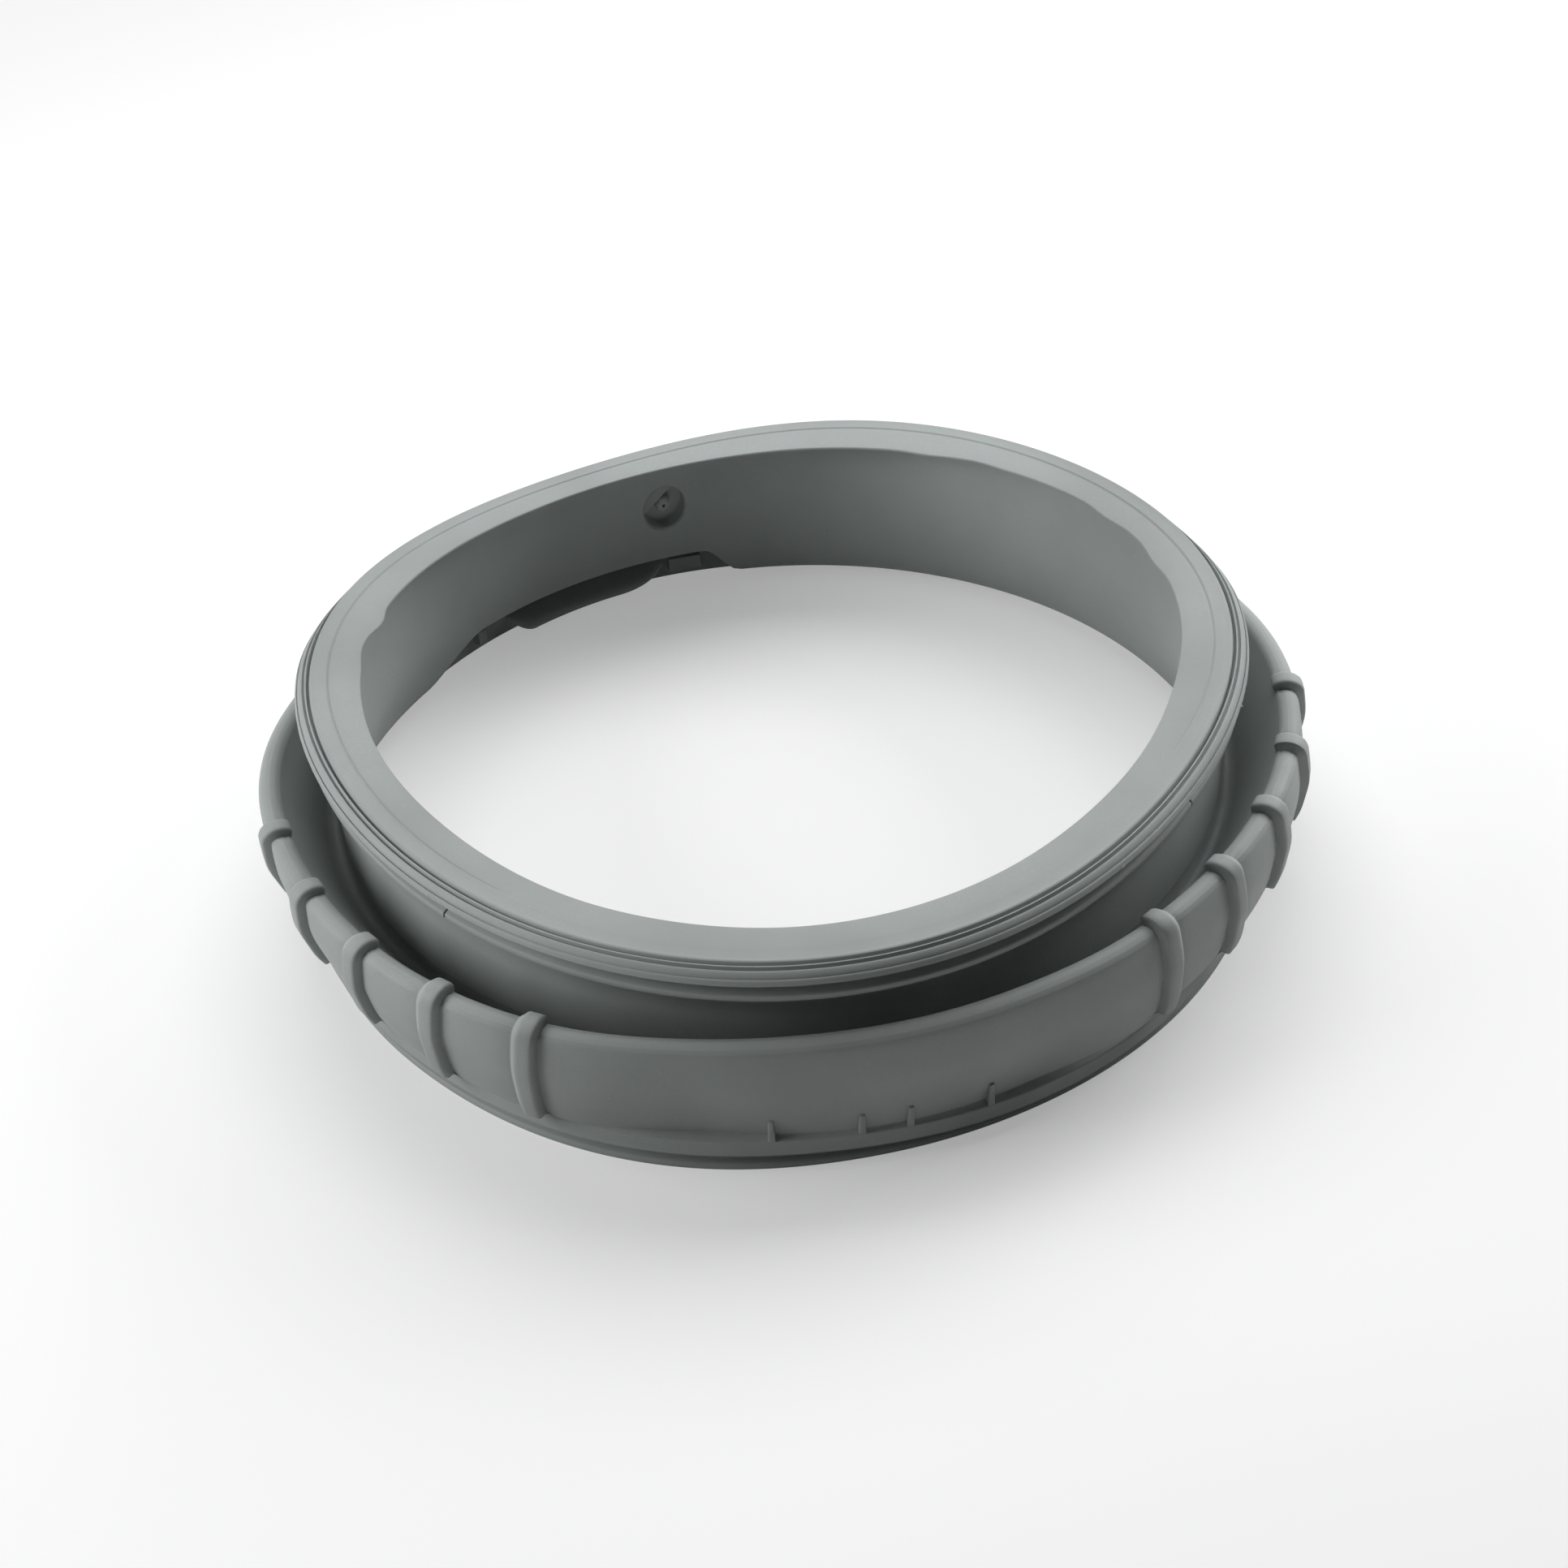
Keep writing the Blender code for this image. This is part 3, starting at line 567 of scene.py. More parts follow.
def sleeve_part(angle):
    """The sleeve down to its foot, which rises over the notch, and the wall's inside."""
    foot = SLEEVE_Z + (NOTCH_Z - SLEEVE_Z) * notch_share(angle)
    outer = SLEEVE_R + SLEEVE_THICK
    out_r = (outer, outer, outer - 2.2, WALL_FACE + 2.8)
    out_z = (SLEEVE_Z, SLEEVE_Z + 1.0, TRENCH_Z / 2 + 4.0, TRENCH_Z - 5.4)
    in_r = (SLEEVE_R, SLEEVE_R - 2.4, WALL_FACE - 1.8)
    in_z = (SLEEVE_Z, TRENCH_Z / 2 + 3.0, TRENCH_Z)
    inner = WALL_FACE - WALL_THICK
    shape = [(WALL_FACE + 5.4, TRENCH_Z - 1.6, 1.0, 0)]
    for radii, heights, rise, rounding, steps in (
        (out_r, out_z, 0.82, 1.0, 0),
        (out_r, out_z, 0.5, 2.0, 0),
        (out_r, out_z, 0.0, 0.5, 2),
        (in_r, in_z, 0.0, 0.5, 2),
        (in_r, in_z, 0.5, 2.0, 1),
        (in_r, in_z, 1.0, 3.0, 1),
    ):
        height = foot + (TRENCH_Z - foot) * rise
        shape.append((np.interp(height, heights, radii), height, rounding, steps))
    shape += [
        (inner, (TOP + TRENCH_Z) / 2, 6.0, 2),
        (inner - 0.6, TOP - 12.0, 3.0, 2),
        (inner - 3.4, TOP - 5.6, 3.0, 3),
        (inner - 9.0, TOP - 2.4, 3.0, 2),
    ]
    return upper_corners(angle, shape)


SECTION_PARTS = (
    flange_part,
    outer_lip_part,
    wall_part,
    fold_part,
    ledge_part,
    tub_part,
    underside_part,
    sleeve_part,
)


def crest_point(degrees):
    """Point of the crest's rounding, 0 degrees outward and 90 upward."""
    turn = math.radians(degrees)
    height = CREST_Z - CREST_ROUND + CREST_ROUND * math.sin(turn)
    return CREST_R + CREST_ROUND * math.cos(turn), height


def line_share(angle):
    """Where the moulded line on the flange stands out."""
    left = smooth((LINE_LEFT[0] - angle) / LINE_LEFT[1])
    right = smooth((angle - LINE_RIGHT[0]) / LINE_RIGHT[1])
    return np.maximum(left, right)


def side_share(angle):
    """Depth of the lower line on the outer lip, faint at the front."""
    away = np.abs(turn_between(angle, FRONT)) - SIDE_LINE_FROM
    return SIDE_LINE[0] + SIDE_LINE[1] * smooth(away / SIDE_LINE_FADE)


def flash_edge(angle):
    """Uneven moulding edge of the outer lip, with a few torn bits."""
    spread = np.random.default_rng(FLASH_SEED).uniform(0.0, FLASH_DEPTH, len(angle))
    for place, size in FLASH_BITS:
        away = np.abs(np.radians(turn_between(angle, place))) * SLOT_R
        spread = spread + size * np.clip(FLASH_PEAK - away / FLASH_HALF, 0.0, 1.0)
    return spread


def seam_cut(angle):
    """Depth of the two narrow cuts across the lower lip."""
    depth = np.zeros_like(angle)
    for seam in SEAMS:
        away = np.abs(np.radians(turn_between(angle, seam))) * SLOT_R
        depth = np.maximum(depth, SEAM_DEPTH * (away < SEAM_HALF))
    return depth


def rounded(corners):
    """Round every corner, and return radius, height, angle and rib share at each point."""
    table = np.array([corner[:4] for corner in corners])
    count = len(corners)
    points = []
    for index in range(count):
        here = table[index]
        rounding, steps = corners[index][4:]
        if steps == 0:
            points.append(here)
            continue
        before = table[index - 1]
        after = table[(index + 1) % count]
        length_before = np.hypot(*(before - here)[:2])
        length_after = np.hypot(*(after - here)[:2])
        reach = np.minimum(rounding, ROUNDING_SHARE * np.minimum(length_before, length_after))
        start = here + (before - here) * (reach / length_before)
        end = here + (after - here) * (reach / length_after)
        for step in range(steps + 1):
            t = step / steps
            points.append((1 - t) ** 2 * start + 2 * t * (1 - t) * here + t * t * end)
    return np.array(points)


def rib_profile(angle):
    """Height of the ribs and depth of the creases beside them, across each rib."""
    lift = np.zeros_like(angle)
    dip = np.zeros_like(angle)
    size = bpy.context.scene.seal_sizes
    half = size.rib_width / MM / 2
    height = size.rib_height / MM
    # Steep on the side toward the front, with a low step on the other
    across = (-half - 0.15, -half + 0.2, -half + 0.7, -half + 1.6)
    across += (1.9, 2.8, half - 0.75, half - 0.3, half, half + 0.2)
    shape = (0.0, 0.55, 0.88, 1.0, 1.0, 0.86, 0.36, 0.33, 0.14, 0.0)
    for away in rib_places():
        x = np.radians(turn_between(angle, FRONT + away)) * FACE_R * math.copysign(1.0, away)
        lift = np.maximum(lift, height * np.interp(x, across, shape, left=0.0, right=0.0))
        past = np.abs(x) - half
        crease = CREASE_DEPTH * np.exp(-((past / CREASE_WIDTH) ** 2))
        dip = np.maximum(dip, np.where(past > CREASE_FROM, crease, 0.0))
    return lift, dip


def ring_points(angle):
    """Points of the whole ring, one row for each angle."""
    points = rounded([corner for part in SECTION_PARTS for corner in part(angle)])
    radius, height, turned, rib = points[:, 0], points[:, 1], points[:, 2], points[:, 3]
    run_r = np.roll(radius, -1, axis=0) - np.roll(radius, 1, axis=0)
    run_z = np.roll(height, -1, axis=0) - np.roll(height, 1, axis=0)
    length = np.maximum(np.hypot(run_r, run_z), 1e-6)
    lift, dip = rib_profile(angle)
    move = rib * lift[None, :] - (rib > 0.99) * dip[None, :]
    radius = radius - run_z / length * move
    height = height + run_r / length * move
    radians = np.radians(turned)
    x = radius * np.cos(radians) + RING_CENTRE[0]
    y = radius * np.sin(radians) + RING_CENTRE[1]
    return np.stack((x, y, height), axis=-1).transpose(1, 0, 2) * MM


def new_object(name, verts, faces):
    """A mesh object with all its faces turned outward."""
    mesh = bpy.data.meshes.new(name)
    mesh.from_pydata([tuple(vert) for vert in verts], [], faces)
    mesh.validate()
    tidy = bmesh.new()
    tidy.from_mesh(mesh)
    bmesh.ops.recalc_face_normals(tidy, faces=tidy.faces)
    tidy.to_mesh(mesh)
    tidy.free()
    piece = bpy.data.objects.new(name, mesh)
    bpy.context.scene.collection.objects.link(piece)
    return piece


def loft(rows, closed):
    """Vertices and faces of a skin over rows of points."""
    count = len(rows[0])
    verts = [point for row in rows for point in row]
    faces = []
    for row in range(len(rows) if closed else len(rows) - 1):
        this, following = row * count, (row + 1) % len(rows) * count
        for side in range(count):
            near = (side + 1) % count
            faces.append((this + side, this + near, following + near, following + side))
    if not closed:
        faces.append(tuple(range(count)))
        faces.append(tuple(range(len(verts) - count, len(verts))))
    return verts, faces


def on_ring(radius, height, angle):
    """Place in the scene of a point given in the ring's own terms."""
    turn = math.radians(angle)
    x = radius * math.cos(turn) + RING_CENTRE[0]
    y = radius * math.sin(turn) + RING_CENTRE[1]
    return Vector((x, y, height)) * MM


def combine(target, other, operation):
    """Apply one exact Boolean, remove the tool and weld what the cut left apart."""
    modifier = target.modifiers.new(operation, "BOOLEAN")
    modifier.operation = operation
    modifier.solver = "EXACT"
    modifier.object = other
    graph = bpy.context.evaluated_depsgraph_get()
    result = bpy.data.meshes.new_from_object(target.evaluated_get(graph))
    target.modifiers.clear()
    target.data = result
    bpy.data.objects.remove(other)
    tidy = bmesh.new()
    tidy.from_mesh(result)
    bmesh.ops.remove_doubles(tidy, verts=tidy.verts, dist=WELD)
    bmesh.ops.dissolve_degenerate(tidy, dist=WELD, edges=tidy.edges)
    tidy.to_mesh(result)
    tidy.free()


def softened(name, rows, width):
    """A closed loft with its edges bevelled a little."""
    piece = new_object(name, *loft(rows, False))
    tool = bmesh.new()
    tool.from_mesh(piece.data)
    sharp = [edge for edge in tool.edges if edge.calc_face_angle(0.0) > math.radians(BEVEL_FROM)]
    bmesh.ops.bevel(tool, geom=sharp, offset=width * MM, segments=2, profile=0.5, affect="EDGES")
    tool.to_mesh(piece.data)
    tool.free()
    return piece


def fold_point(radius, height, angle):
    """Radius and height of one point of the fold."""
    moved = place_fold(np.array(radius), np.array(height), np.array(angle))
    return float(moved[0]), float(moved[1])


def tub_root(angle):
    """Radius just inside the web, where what grows from it begins."""
    return WEB_R + ROOT_IN_WEB + float(swells(np.array(angle), TUB_SWELLS))


def ring_object():
    piece = bpy.data.objects.get(PIECE)
    if piece is None:
        raise RuntimeError("Make the ring first")
    return piece


class SealSizes(bpy.types.PropertyGroup):
    flange_width: bpy.props.FloatProperty(
        name="Flange width",
        description="From the sealing edge to the slot",
        default=0.0226,
        unit="LENGTH",
    )
    line_depth: bpy.props.FloatProperty(
        name="Line depth",
        description="Depth of the moulded line on the flange",
        default=0.0005,
        unit="LENGTH",
    )
    ridge_depth: bpy.props.FloatProperty(
        name="Ridge depth",
        description="Depth of the lines between the outer lip's ridges",
        default=0.0008,
        unit="LENGTH",
    )
    rib_width: bpy.props.FloatProperty(
        name="Rib width",
        description="Width of each rib over the fold",
        default=0.0106,
        unit="LENGTH",
    )
    rib_height: bpy.props.FloatProperty(
        name="Rib height",
        description="How far each rib stands out of the fold",
        default=0.0034,
        unit="LENGTH",
    )
    fin_thickness: bpy.props.FloatProperty(
        name="Gusset thickness",
        description="Thickness of the gussets at their top",
        default=0.0020,
        unit="LENGTH",
    )
    port_bore: bpy.props.FloatProperty(
        name="Port bore",
        description="Width of the port in the wall",
        default=0.021,
        unit="LENGTH",
    )


class SealFinish(bpy.types.PropertyGroup):
    rubber: bpy.props.FloatVectorProperty(
        name="Rubber",
        description="Colour of the rubber",
        default=(0.300, 0.323, 0.318),
        subtype="COLOR",
    )
    dust: bpy.props.FloatProperty(
        name="Dust",
        description="Amount of pale specks",
        default=0.35,
        min=0.0,
        max=1.0,
        subtype="FACTOR",
    )
    roughness: bpy.props.FloatProperty(
        name="Roughness",
        description="Roughness of the rubber",
        default=0.58,
        min=0.0,
        max=1.0,
        subtype="FACTOR",
    )
    floor: bpy.props.FloatVectorProperty(
        name="Floor",
        description="Colour of the studio floor",
        default=(0.95, 0.95, 0.95),
        subtype="COLOR",
    )


class SEAL_OT_ring(bpy.types.Operator):
    """Make the ring with its flange, lips, fold, ribs and sleeve"""

    bl_idname = "seal.ring"
    bl_label = "Ring"

    def execute(self, context):
        angles = station_angles(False)
        rows = ring_points(angles)
        verts, faces = loft(rows, True)
        piece = new_object(PIECE, verts, faces)
        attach(piece, BODY)
        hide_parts(NODE)
        return {"FINISHED"}


class SEAL_OT_gussets(bpy.types.Operator):
    """Add the four thin gussets on the ledge"""

    bl_idname = "seal.gussets"
    bl_label = "Gussets"

    def execute(self, context):
        top_half = context.scene.seal_sizes.fin_thickness / MM / 2
        foot_half = top_half * FIN_FLARE
        for angle in FIN_ANGLES:
            foot, foot_z = fold_point(FACE_R - FOOT_INSET, FOOT_Z, angle)
            above, above_z = fold_point(LOWER_FACE_R, LOWER_FACE_Z, angle)
            low, top = LEDGE_TOP - FIN_ROOT, LEDGE_TOP + FIN_HEIGHT
            face = foot + (above - foot) * (top - FIN_MEET - foot_z) / (above_z - foot_z)
            ledge = LEDGE_R + float(swells(np.array(angle), LEDGE_SWELLS)) - 0.3
            corners = [
                (foot - 2.0, low, foot_half),
                (foot - 1.0, foot_z, foot_half),
                (face - 1.0, top, top_half),
                (face + 1.8, top - 1.1, top_half),
                (ledge, LEDGE_TOP - 0.4, foot_half),
                (ledge, low, foot_half),
            ]
            turn = math.radians(angle + 90.0)
            side = Vector((math.cos(turn), math.sin(turn), 0.0)) * MM
            rows = []
            for sign in (-1.0, 1.0):
                rows.append(
                    [on_ring(radius, height, angle) + side * sign * half for radius, height, half in corners]
                )
            combine(ring_object(), softened("gusset", rows, FIN_SOFT), "UNION")
        return {"FINISHED"}


class SEAL_OT_drain(bpy.types.Operator):
    """Add the drain tongue and the lugs behind the notch"""

    bl_idname = "seal.drain"
    bl_label = "Drain tongue and lugs"

    def execute(self, context):
        rows = []
        for index in range(TONGUE_STEPS + 1):
            angle = TONGUE[0] + (TONGUE[1] - TONGUE[0]) * index / TONGUE_STEPS
            first, last = (angle - TONGUE[0]) / TONGUE_ENDS[0], (TONGUE[1] - angle) / TONGUE_ENDS[1]
            share = math.sqrt(max(1.0 - (1.0 - min(first, last, 1.0)) ** 2, TONGUE_END_SHARE))
            root = tub_root(angle)
            edge = root - TONGUE_REACH * share
            low = TONGUE_ROOT_Z - TONGUE_FALL * share
            outline = (
                (root, TONGUE_ROOT_Z - TONGUE_ROOT_THICK),
                (root, TONGUE_ROOT_Z),
                (edge + 4.5, low + 1.2),
                (edge + 2.2, low + 0.2),
                (edge + 0.6, low - 0.9),
                (edge, low - 2.4),
                (edge + 0.5, low - 3.4),
                (edge + 1.6, low - 3.0),
                (edge + 2.6, low - 1.6),
            )
            rows.append([on_ring(radius, height, angle) for radius, height in outline])
        combine(ring_object(), new_object("tongue", *loft(rows, False)), "UNION")
        low, high = LUG_HEIGHTS
        for angles in (LUG, POST):
            rows = []
            for index in range(LUG_STEPS + 1):
                angle = angles[0] + (angles[1] - angles[0]) * index / LUG_STEPS
                root = tub_root(angle)
                outline = ((root, low), (root, high), (root - LUG_REACH, high), (root - LUG_REACH, low))
                rows.append([on_ring(radius, height, angle) for radius, height in outline])
            combine(ring_object(), softened("lug", rows, LUG_SOFT), "UNION")
        return {"FINISHED"}


def port_frame():
    """Matrix whose Z points outward through the port, its origin on the inner face."""
    face = WALL_FACE - WALL_THICK
    angle = np.array(PORT_ANGLE)
    radius, height = place_upper(np.array(face), np.array(PORT_Z), angle)
    over_r, over_z = place_upper(np.array(face), np.array(PORT_Z + PORT_RISE), angle)
    centre = on_ring(float(radius), float(height), PORT_ANGLE)
    rise = (on_ring(float(over_r), float(over_z), PORT_ANGLE) - centre).normalized()
    turn = math.radians(PORT_ANGLE + 90.0)
    along = Vector((math.cos(turn), math.sin(turn), 0.0))
    turned = Matrix((along, rise, along.cross(rise))).transposed().to_4x4()
    return Matrix.Translation(centre) @ turned @ Matrix.Diagonal((1.0, PORT_STRETCH, 1.0, 1.0))


def turned_solid(name, outline, segments, matrix):
    """Solid of revolution about its own Z, from the axis and back to it."""
    tool = bmesh.new()
    verts = [tool.verts.new((radius * MM, 0.0, height * MM)) for radius, height in outline]
    edges = [tool.edges.new(pair) for pair in zip(verts, verts[1:])]
    whole_turn = {"cent": (0, 0, 0), "axis": (0, 0, 1), "angle": 2 * math.pi}
    bmesh.ops.spin(tool, geom=verts + edges, steps=segments, **whole_turn)
    bmesh.ops.remove_doubles(tool, verts=tool.verts, dist=1e-6)
    bmesh.ops.recalc_face_normals(tool, faces=tool.faces)
    tool.transform(matrix)
    mesh = bpy.data.meshes.new(name)
    tool.to_mesh(mesh)
    tool.free()
    piece = bpy.data.objects.new(name, mesh)
    bpy.context.scene.collection.objects.link(piece)
    return piece


def shield_rows(bore, floor, place):
    """The two outlines of the half shield that stays when the cup is cut out."""
    reach = bore + 1.2
    half = math.degrees(math.acos(SHIELD_CHORD))
    turn = math.radians(SHIELD_TURN)
    toward = Vector((math.cos(turn), math.sin(turn), 0.0))
    angles = [
        math.radians(SHIELD_TURN - half + 2.0 * half * index / SHIELD_STEPS)
        for index in range(SHIELD_STEPS + 1)
    ]
    rows = []
    for lower in (False, True):
        row = []
        for angle in angles:
            spot = Vector((math.cos(angle), math.sin(angle), 0.0)) * reach
            depth = SHIELD_DEPTH + SHIELD_SLOPE * (spot.dot(toward) - SHIELD_CHORD * reach)
            spot.z = floor + 1.0 if lower else depth
            row.append(place @ (spot * MM))
        rows.append(row)
    return rows


class SEAL_OT_port(bpy.types.Operator):
    """Add the port with its pierced nipple and half shield"""

    bl_idname = "seal.port"
    bl_label = "Port"

    def execute(self, context):
        place = port_frame()
        ring = ring_object()
        bore = context.scene.seal_sizes.port_bore / MM / 2
        shell, back, floor = bore + PORT_SHELL, PORT_REACH, PORT_REACH - PORT_FLOOR
        boss = (
            (0.0, 1.2),
            (shell, 1.2),
            (shell, back - 0.8),
            (shell - 0.3, back - 0.2),
            (shell - 0.9, back),
            (0.0, back),
        )
        hollow = (
            (0.0, PORT_OPEN),
            (bore + 0.9, PORT_OPEN),
            (bore + 0.9, 0.0),
            (bore + 0.3, 0.25),
            (bore, 0.9),
            (bore - 0.2, floor - 0.6),
            (bore - 0.8, floor),
            (0.0, floor),
        )
        nipple = (
            (0.0, floor + 0.5),
            (4.4, floor + 0.5),
            (4.0, floor - 1.6),
            (3.8, floor - 3.6),
            (3.2, floor - 5.0),
            (2.2, floor - 5.7),
            (1.2, floor - 5.9),
            (0.0, floor - 5.9),
        )
        hole = ((0.0, PORT_OPEN), (NIPPLE_HOLE, PORT_OPEN), (NIPPLE_HOLE, back + 1.0), (0.0, back + 1.0))
        combine(ring, turned_solid("boss", boss, ROUND_STEPS, place), "UNION")
        cup = turned_solid("cup", hollow, ROUND_STEPS, place)
        combine(cup, turned_solid("nipple", nipple, SMALL_STEPS, place), "DIFFERENCE")
        shield = new_object("shield", *loft(shield_rows(bore, floor, place), False))
        combine(cup, shield, "DIFFERENCE")
        combine(ring, cup, "DIFFERENCE")
        combine(ring, turned_solid("hole", hole, SMALL_STEPS // 2, place), "DIFFERENCE")
        return {"FINISHED"}


def set_range(node, source, result):
    """Set both ranges of a Map Range node."""
    values = zip(("From Min", "From Max", "To Min", "To Max"), source + result)
    for name, value in values:
        node.inputs[name].default_value = value


def rubber_material():
    """Matt rubber with a fine grain, faint clouding, dust and a few dark specks."""
    finish = bpy.context.scene.seal_finish
    material = bpy.data.materials.new("grey_rubber_finish")
    material.use_nodes = True
    nodes, links = material.node_tree.nodes, material.node_tree.links
    shader = nodes["Principled BSDF"]
    place = nodes.new("ShaderNodeTexCoord")

    def noise(scale, detail, rough=0.5):
        node = nodes.new("ShaderNodeTexNoise")
        node.inputs["Scale"].default_value = scale
        node.inputs["Detail"].default_value = detail
        node.inputs["Roughness"].default_value = rough
        links.new(place.outputs["Object"], node.inputs["Vector"])
        return node.outputs["Fac"]

    def spread(source, low, high, out_low, out_high):
        node = nodes.new("ShaderNodeMapRange")
        node.interpolation_type = "SMOOTHSTEP"
        set_range(node, (low, high), (out_low, out_high))
        links.new(source, node.inputs["Value"])
        return node.outputs["Result"]

    def mixed(factor, first, second):
        node = nodes.new("ShaderNodeMix")
        node.data_type = "RGBA"
        for socket, value in ((node.inputs[0], factor), (node.inputs[6], first), (node.inputs[7], second)):
            if isinstance(value, (float, tuple)):
                socket.default_value = value
            else:
                links.new(value, socket)
        return node.outputs[2]

    def product(first, second):
        node = nodes.new("ShaderNodeMath")
        node.operation = "MULTIPLY"
        for socket, value in zip(node.inputs, (first, second)):
            if isinstance(value, float):
                socket.default_value = value
            else:
                links.new(value, socket)
        return node.outputs[0]

    def bump_map(height, strength, distance, under=None):
        node = nodes.new("ShaderNodeBump")
        node.inputs["Strength"].default_value = strength
        node.inputs["Distance"].default_value = distance
        links.new(height, node.inputs["Height"])
        if under is not None:
            links.new(under, node.inputs["Normal"])
        return node.outputs["Normal"]

    def tint(share):
        return tuple(min(value * share, 1.0) for value in finish.rubber) + (1.0,)

    def specks(scale, size, keep):
        node = nodes.new("ShaderNodeTexVoronoi")
        node.inputs["Scale"].default_value = scale
        node.inputs["Randomness"].default_value = 1.0
        links.new(place.outputs["Object"], node.inputs["Vector"])
        near = spread(node.outputs["Distance"], size * 0.5, size, 1.0, 0.0)
        split = nodes.new("ShaderNodeSeparateColor")
        links.new(node.outputs["Color"], split.inputs["Color"])
        some = spread(split.outputs["Red"], keep, keep + 0.01, 1.0, 0.0)
        return product(near, some)

    cloud = mixed(spread(noise(9.0, 4.0), 0.32, 0.68, 0.0, 1.0), tint(0.90), tint(1.12))
    fine = mixed(spread(noise(900.0, 2.0), 0.3, 0.7, 0.0, 0.5), cloud, tint(1.0))
    dusted = mixed(product(specks(190.0, 0.085, 0.10), finish.dust), fine, tint(1.9))
    spotted = mixed(specks(75.0, 0.03, 0.10), dusted, tint(0.35))
    links.new(spotted, shader.inputs["Base Color"])
    rough = spread(noise(30.0, 3.0), 0.3, 0.7, finish.roughness - 0.05, finish.roughness + 0.06)
    links.new(rough, shader.inputs["Roughness"])
    shader.inputs["Metallic"].default_value = 0.0
    shader.inputs["IOR"].default_value = 1.5
    shader.inputs["Specular IOR Level"].default_value = 0.30
    grain = bump_map(noise(2200.0, 3.0, 0.6), 0.12, 0.0002)
    links.new(bump_map(noise(45.0, 2.0), 0.25, 0.0006, grain), shader.inputs["Normal"])
    return material


class SEAL_OT_finish(bpy.types.Operator):
    """Give the ring its rubber finish"""

    bl_idname = "seal.finish"
    bl_label = "Rubber finish"

    def execute(self, context):
        piece = ring_object()
        piece.data.materials.clear()
        piece.data.materials.append(rubber_material())
        tidy = bmesh.new()
        tidy.from_mesh(piece.data)
        bmesh.ops.remove_doubles(tidy, verts=tidy.verts, dist=LAST_WELD)
        tidy.to_mesh(piece.data)
        tidy.free()
        piece.data.shade_smooth()
        piece.data.set_sharp_from_angle(angle=math.radians(SHARP_FROM))
        return {"FINISHED"}


def area_light(name, place, target, size, power):
    light = bpy.data.lights.new(name, "AREA")
    light.shape = "RECTANGLE"
    light.size, light.size_y = size
    light.energy = power
    item = bpy.data.objects.new(name, light)
    item.location = place
    item.rotation_euler = (Vector(target) - Vector(place)).to_track_quat("-Z", "Y").to_euler()
    bpy.context.scene.collection.objects.link(item)


def ray_share(nodes, links, names):
    """Highest of several Light Path outputs, 1 for a ray of any of those kinds."""
    path = nodes.new("ShaderNodeLightPath")
    result = path.outputs[names[0]]
    for name in names[1:]:
        node = nodes.new("ShaderNodeMath")
        node.operation = "MAXIMUM"
        links.new(result, node.inputs[0])
        links.new(path.outputs[name], node.inputs[1])
        result = node.outputs[0]
    return result


def make_floor():
    """Pale paper that keeps the seal's shadow and turns plain white further away."""
    finish = bpy.context.scene.seal_finish
    mesh = bpy.data.meshes.new("studio_floor")
    tool = bmesh.new()
    bmesh.ops.create_grid(tool, x_segments=FLOOR_CELLS, y_segments=FLOOR_CELLS, size=FLOOR_HALF)
    tool.to_mesh(mesh)
    tool.free()
    floor = bpy.data.objects.new("studio_floor", mesh)
    bpy.context.scene.collection.objects.link(floor)
    material = bpy.data.materials.new("studio_floor_paper")
    material.use_nodes = True
    nodes, links = material.node_tree.nodes, material.node_tree.links
    shader = nodes["Principled BSDF"]
    shader.inputs["Roughness"].default_value = 0.9
    shader.inputs["Specular IOR Level"].default_value = 0.1
    seen = ray_share(nodes, links, ("Is Camera Ray", "Is Glossy Ray", "Is Transmission Ray"))
    mix = nodes.new("ShaderNodeMix")
    mix.data_type = "RGBA"
    links.new(seen, mix.inputs[0])
    mix.inputs[6].default_value = (BOUNCE, BOUNCE, BOUNCE, 1.0)
    mix.inputs[7].default_value = tuple(finish.floor) + (1.0,)
    links.new(mix.outputs[2], shader.inputs["Base Color"])
    glow = nodes.new("ShaderNodeEmission")
    glow.inputs["Color"].default_value = (FLOOR_WHITE, FLOOR_WHITE, FLOOR_WHITE, 1.0)
    place = nodes.new("ShaderNodeTexCoord")
    away = nodes.new("ShaderNodeVectorMath")
    away.operation = "LENGTH"
    links.new(place.outputs["Object"], away.inputs[0])
    fade = nodes.new("ShaderNodeMapRange")
    fade.interpolation_type = "SMOOTHSTEP"
    set_range(fade, WHITE_FADE, (WHITE_SHARE, 1.0))
    links.new(away.outputs["Value"], fade.inputs["Value"])
    share = nodes.new("ShaderNodeMath")
    share.operation = "MULTIPLY"
    links.new(fade.outputs["Result"], share.inputs[1])
    links.new(seen, share.inputs[0])
    both = nodes.new("ShaderNodeMixShader")
    links.new(share.outputs[0], both.inputs["Fac"])
    links.new(shader.outputs["BSDF"], both.inputs[1])
    links.new(glow.outputs["Emission"], both.inputs[2])
    links.new(both.outputs[0], nodes["Material Output"].inputs["Surface"])
    mesh.materials.append(material)


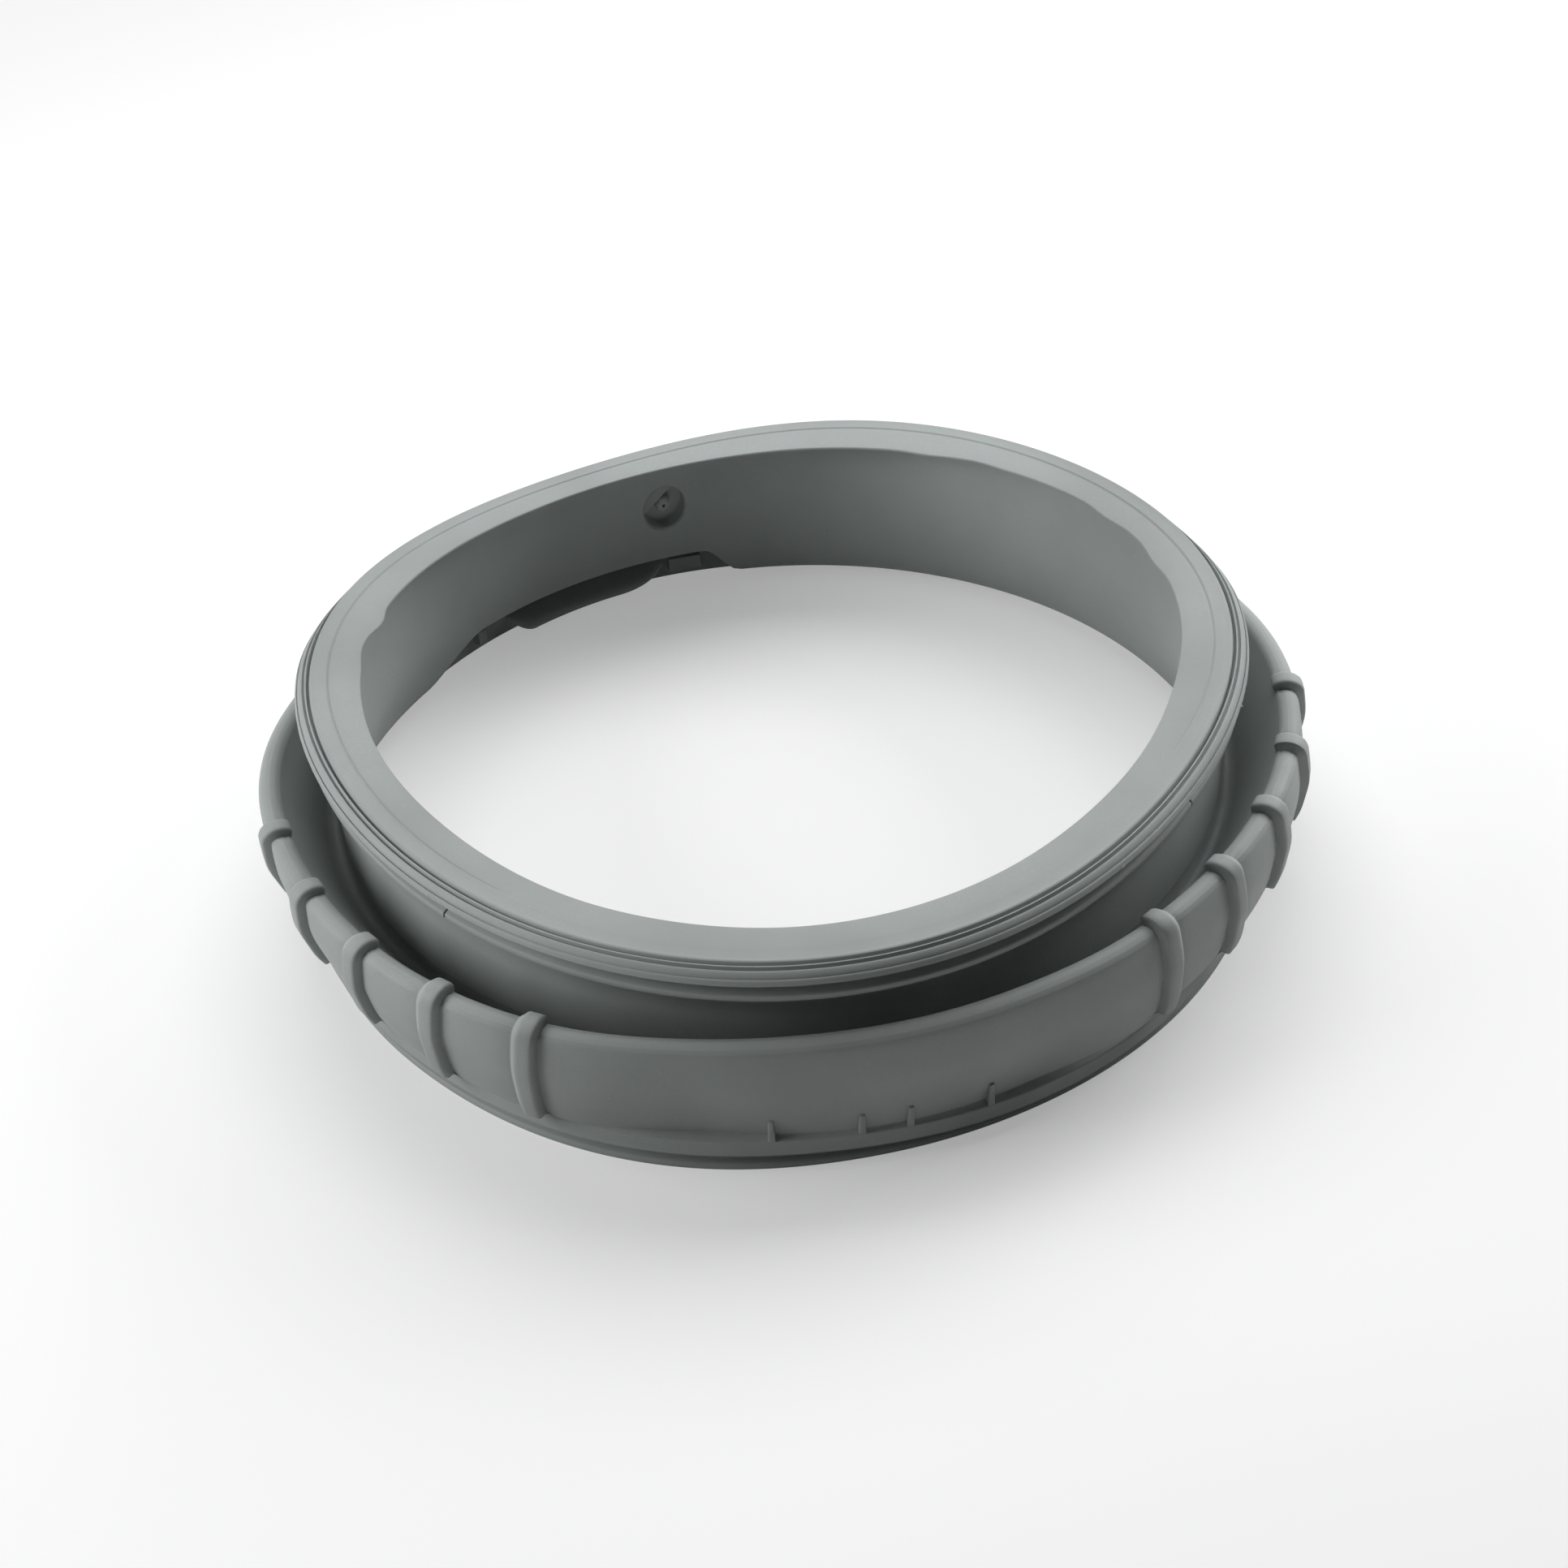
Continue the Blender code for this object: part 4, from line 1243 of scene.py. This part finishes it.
def make_world():
    """Even air light, white where the camera looks past the floor."""
    scene = bpy.context.scene
    scene.world = bpy.data.worlds.new("studio_air")
    scene.world.use_nodes = True
    nodes, links = scene.world.node_tree.nodes, scene.world.node_tree.links
    back = nodes["Background"]
    seen = ray_share(nodes, links, ("Is Camera Ray", "Is Transmission Ray"))
    place = nodes.new("ShaderNodeTexCoord")
    split = nodes.new("ShaderNodeSeparateXYZ")
    links.new(place.outputs["Generated"], split.inputs[0])
    high = nodes.new("ShaderNodeMapRange")
    set_range(high, (AIR_FROM, 1.0), AIR_LIGHT)
    links.new(split.outputs["Z"], high.inputs["Value"])
    mix = nodes.new("ShaderNodeMix")
    mix.data_type = "FLOAT"
    links.new(seen, mix.inputs[0])
    links.new(high.outputs["Result"], mix.inputs[2])
    mix.inputs[3].default_value = BACK_WHITE
    links.new(mix.outputs[0], back.inputs["Strength"])
    back.inputs["Color"].default_value = (1.0, 1.0, 1.0, 1.0)


def make_camera():
    """Camera at the photograph's viewing point, with its lens and roll."""
    lift, roll = math.radians(CAMERA_LIFT), math.radians(CAMERA_ROLL)
    up = Vector((0.0, math.sin(lift), math.cos(lift)))
    back = Vector((0.0, -math.cos(lift), math.sin(lift)))
    right = Vector((1.0, 0.0, 0.0))
    across = math.cos(roll) * right - math.sin(roll) * up
    above = math.sin(roll) * right + math.cos(roll) * up
    off_x = (CENTRE_PX[0] - FRAME_PX / 2) / FOCAL_PX * CAMERA_DISTANCE
    off_y = (FRAME_PX / 2 - CENTRE_PX[1]) / FOCAL_PX * CAMERA_DISTANCE
    centre = Vector((RING_CENTRE[0] * MM, RING_CENTRE[1] * MM, 0.0))
    place = centre - off_x * across - off_y * above + CAMERA_DISTANCE * back
    lens = bpy.data.cameras.new("camera")
    lens.sensor_width = SENSOR
    lens.lens = FOCAL_PX / FRAME_PX * SENSOR
    camera = bpy.data.objects.new("camera", lens)
    camera.matrix_world = Matrix.Translation(place) @ Matrix((across, above, back)).transposed().to_4x4()
    bpy.context.scene.collection.objects.link(camera)
    bpy.context.scene.camera = camera


class SEAL_OT_stage(bpy.types.Operator):
    """Set the pale floor, the soft light and the camera"""

    bl_idname = "seal.stage"
    bl_label = "Studio"

    def execute(self, context):
        make_floor()
        make_world()
        for settings in LIGHTS:
            area_light(*settings)
        make_camera()
        context.scene.view_settings.view_transform = "Standard"
        return {"FINISHED"}


class SEAL_PT_panel(bpy.types.Panel):
    """List of the seal's steps and sizes"""

    bl_idname = "SEAL_PT_panel"
    bl_label = "Door seal"
    bl_space_type = "VIEW_3D"
    bl_region_type = "UI"
    bl_category = "Seal"

    def draw(self, context):
        for group in (context.scene.seal_sizes, context.scene.seal_finish):
            for name in group.__annotations__:
                self.layout.prop(group, name)
        for step in STEPS:
            self.layout.operator(step.bl_idname)


STEPS = (SEAL_OT_ring, SEAL_OT_gussets, SEAL_OT_drain, SEAL_OT_port, SEAL_OT_finish, SEAL_OT_stage)
GROUPS = (SealSizes, SealFinish)


def register():
    for item in GROUPS + STEPS + (SEAL_PT_panel,):
        bpy.utils.register_class(item)
    bpy.types.Scene.seal_sizes = bpy.props.PointerProperty(type=SealSizes)
    bpy.types.Scene.seal_finish = bpy.props.PointerProperty(type=SealFinish)


def unregister():
    del bpy.types.Scene.seal_finish
    del bpy.types.Scene.seal_sizes
    for item in reversed(GROUPS + STEPS + (SEAL_PT_panel,)):
        bpy.utils.unregister_class(item)


def main():
    register()
    bpy.ops.seal.ring()
    bpy.ops.seal.gussets()
    bpy.ops.seal.drain()
    bpy.ops.seal.port()
    bpy.ops.seal.finish()
    bpy.ops.seal.stage()


if __name__ == "__main__":
    main()
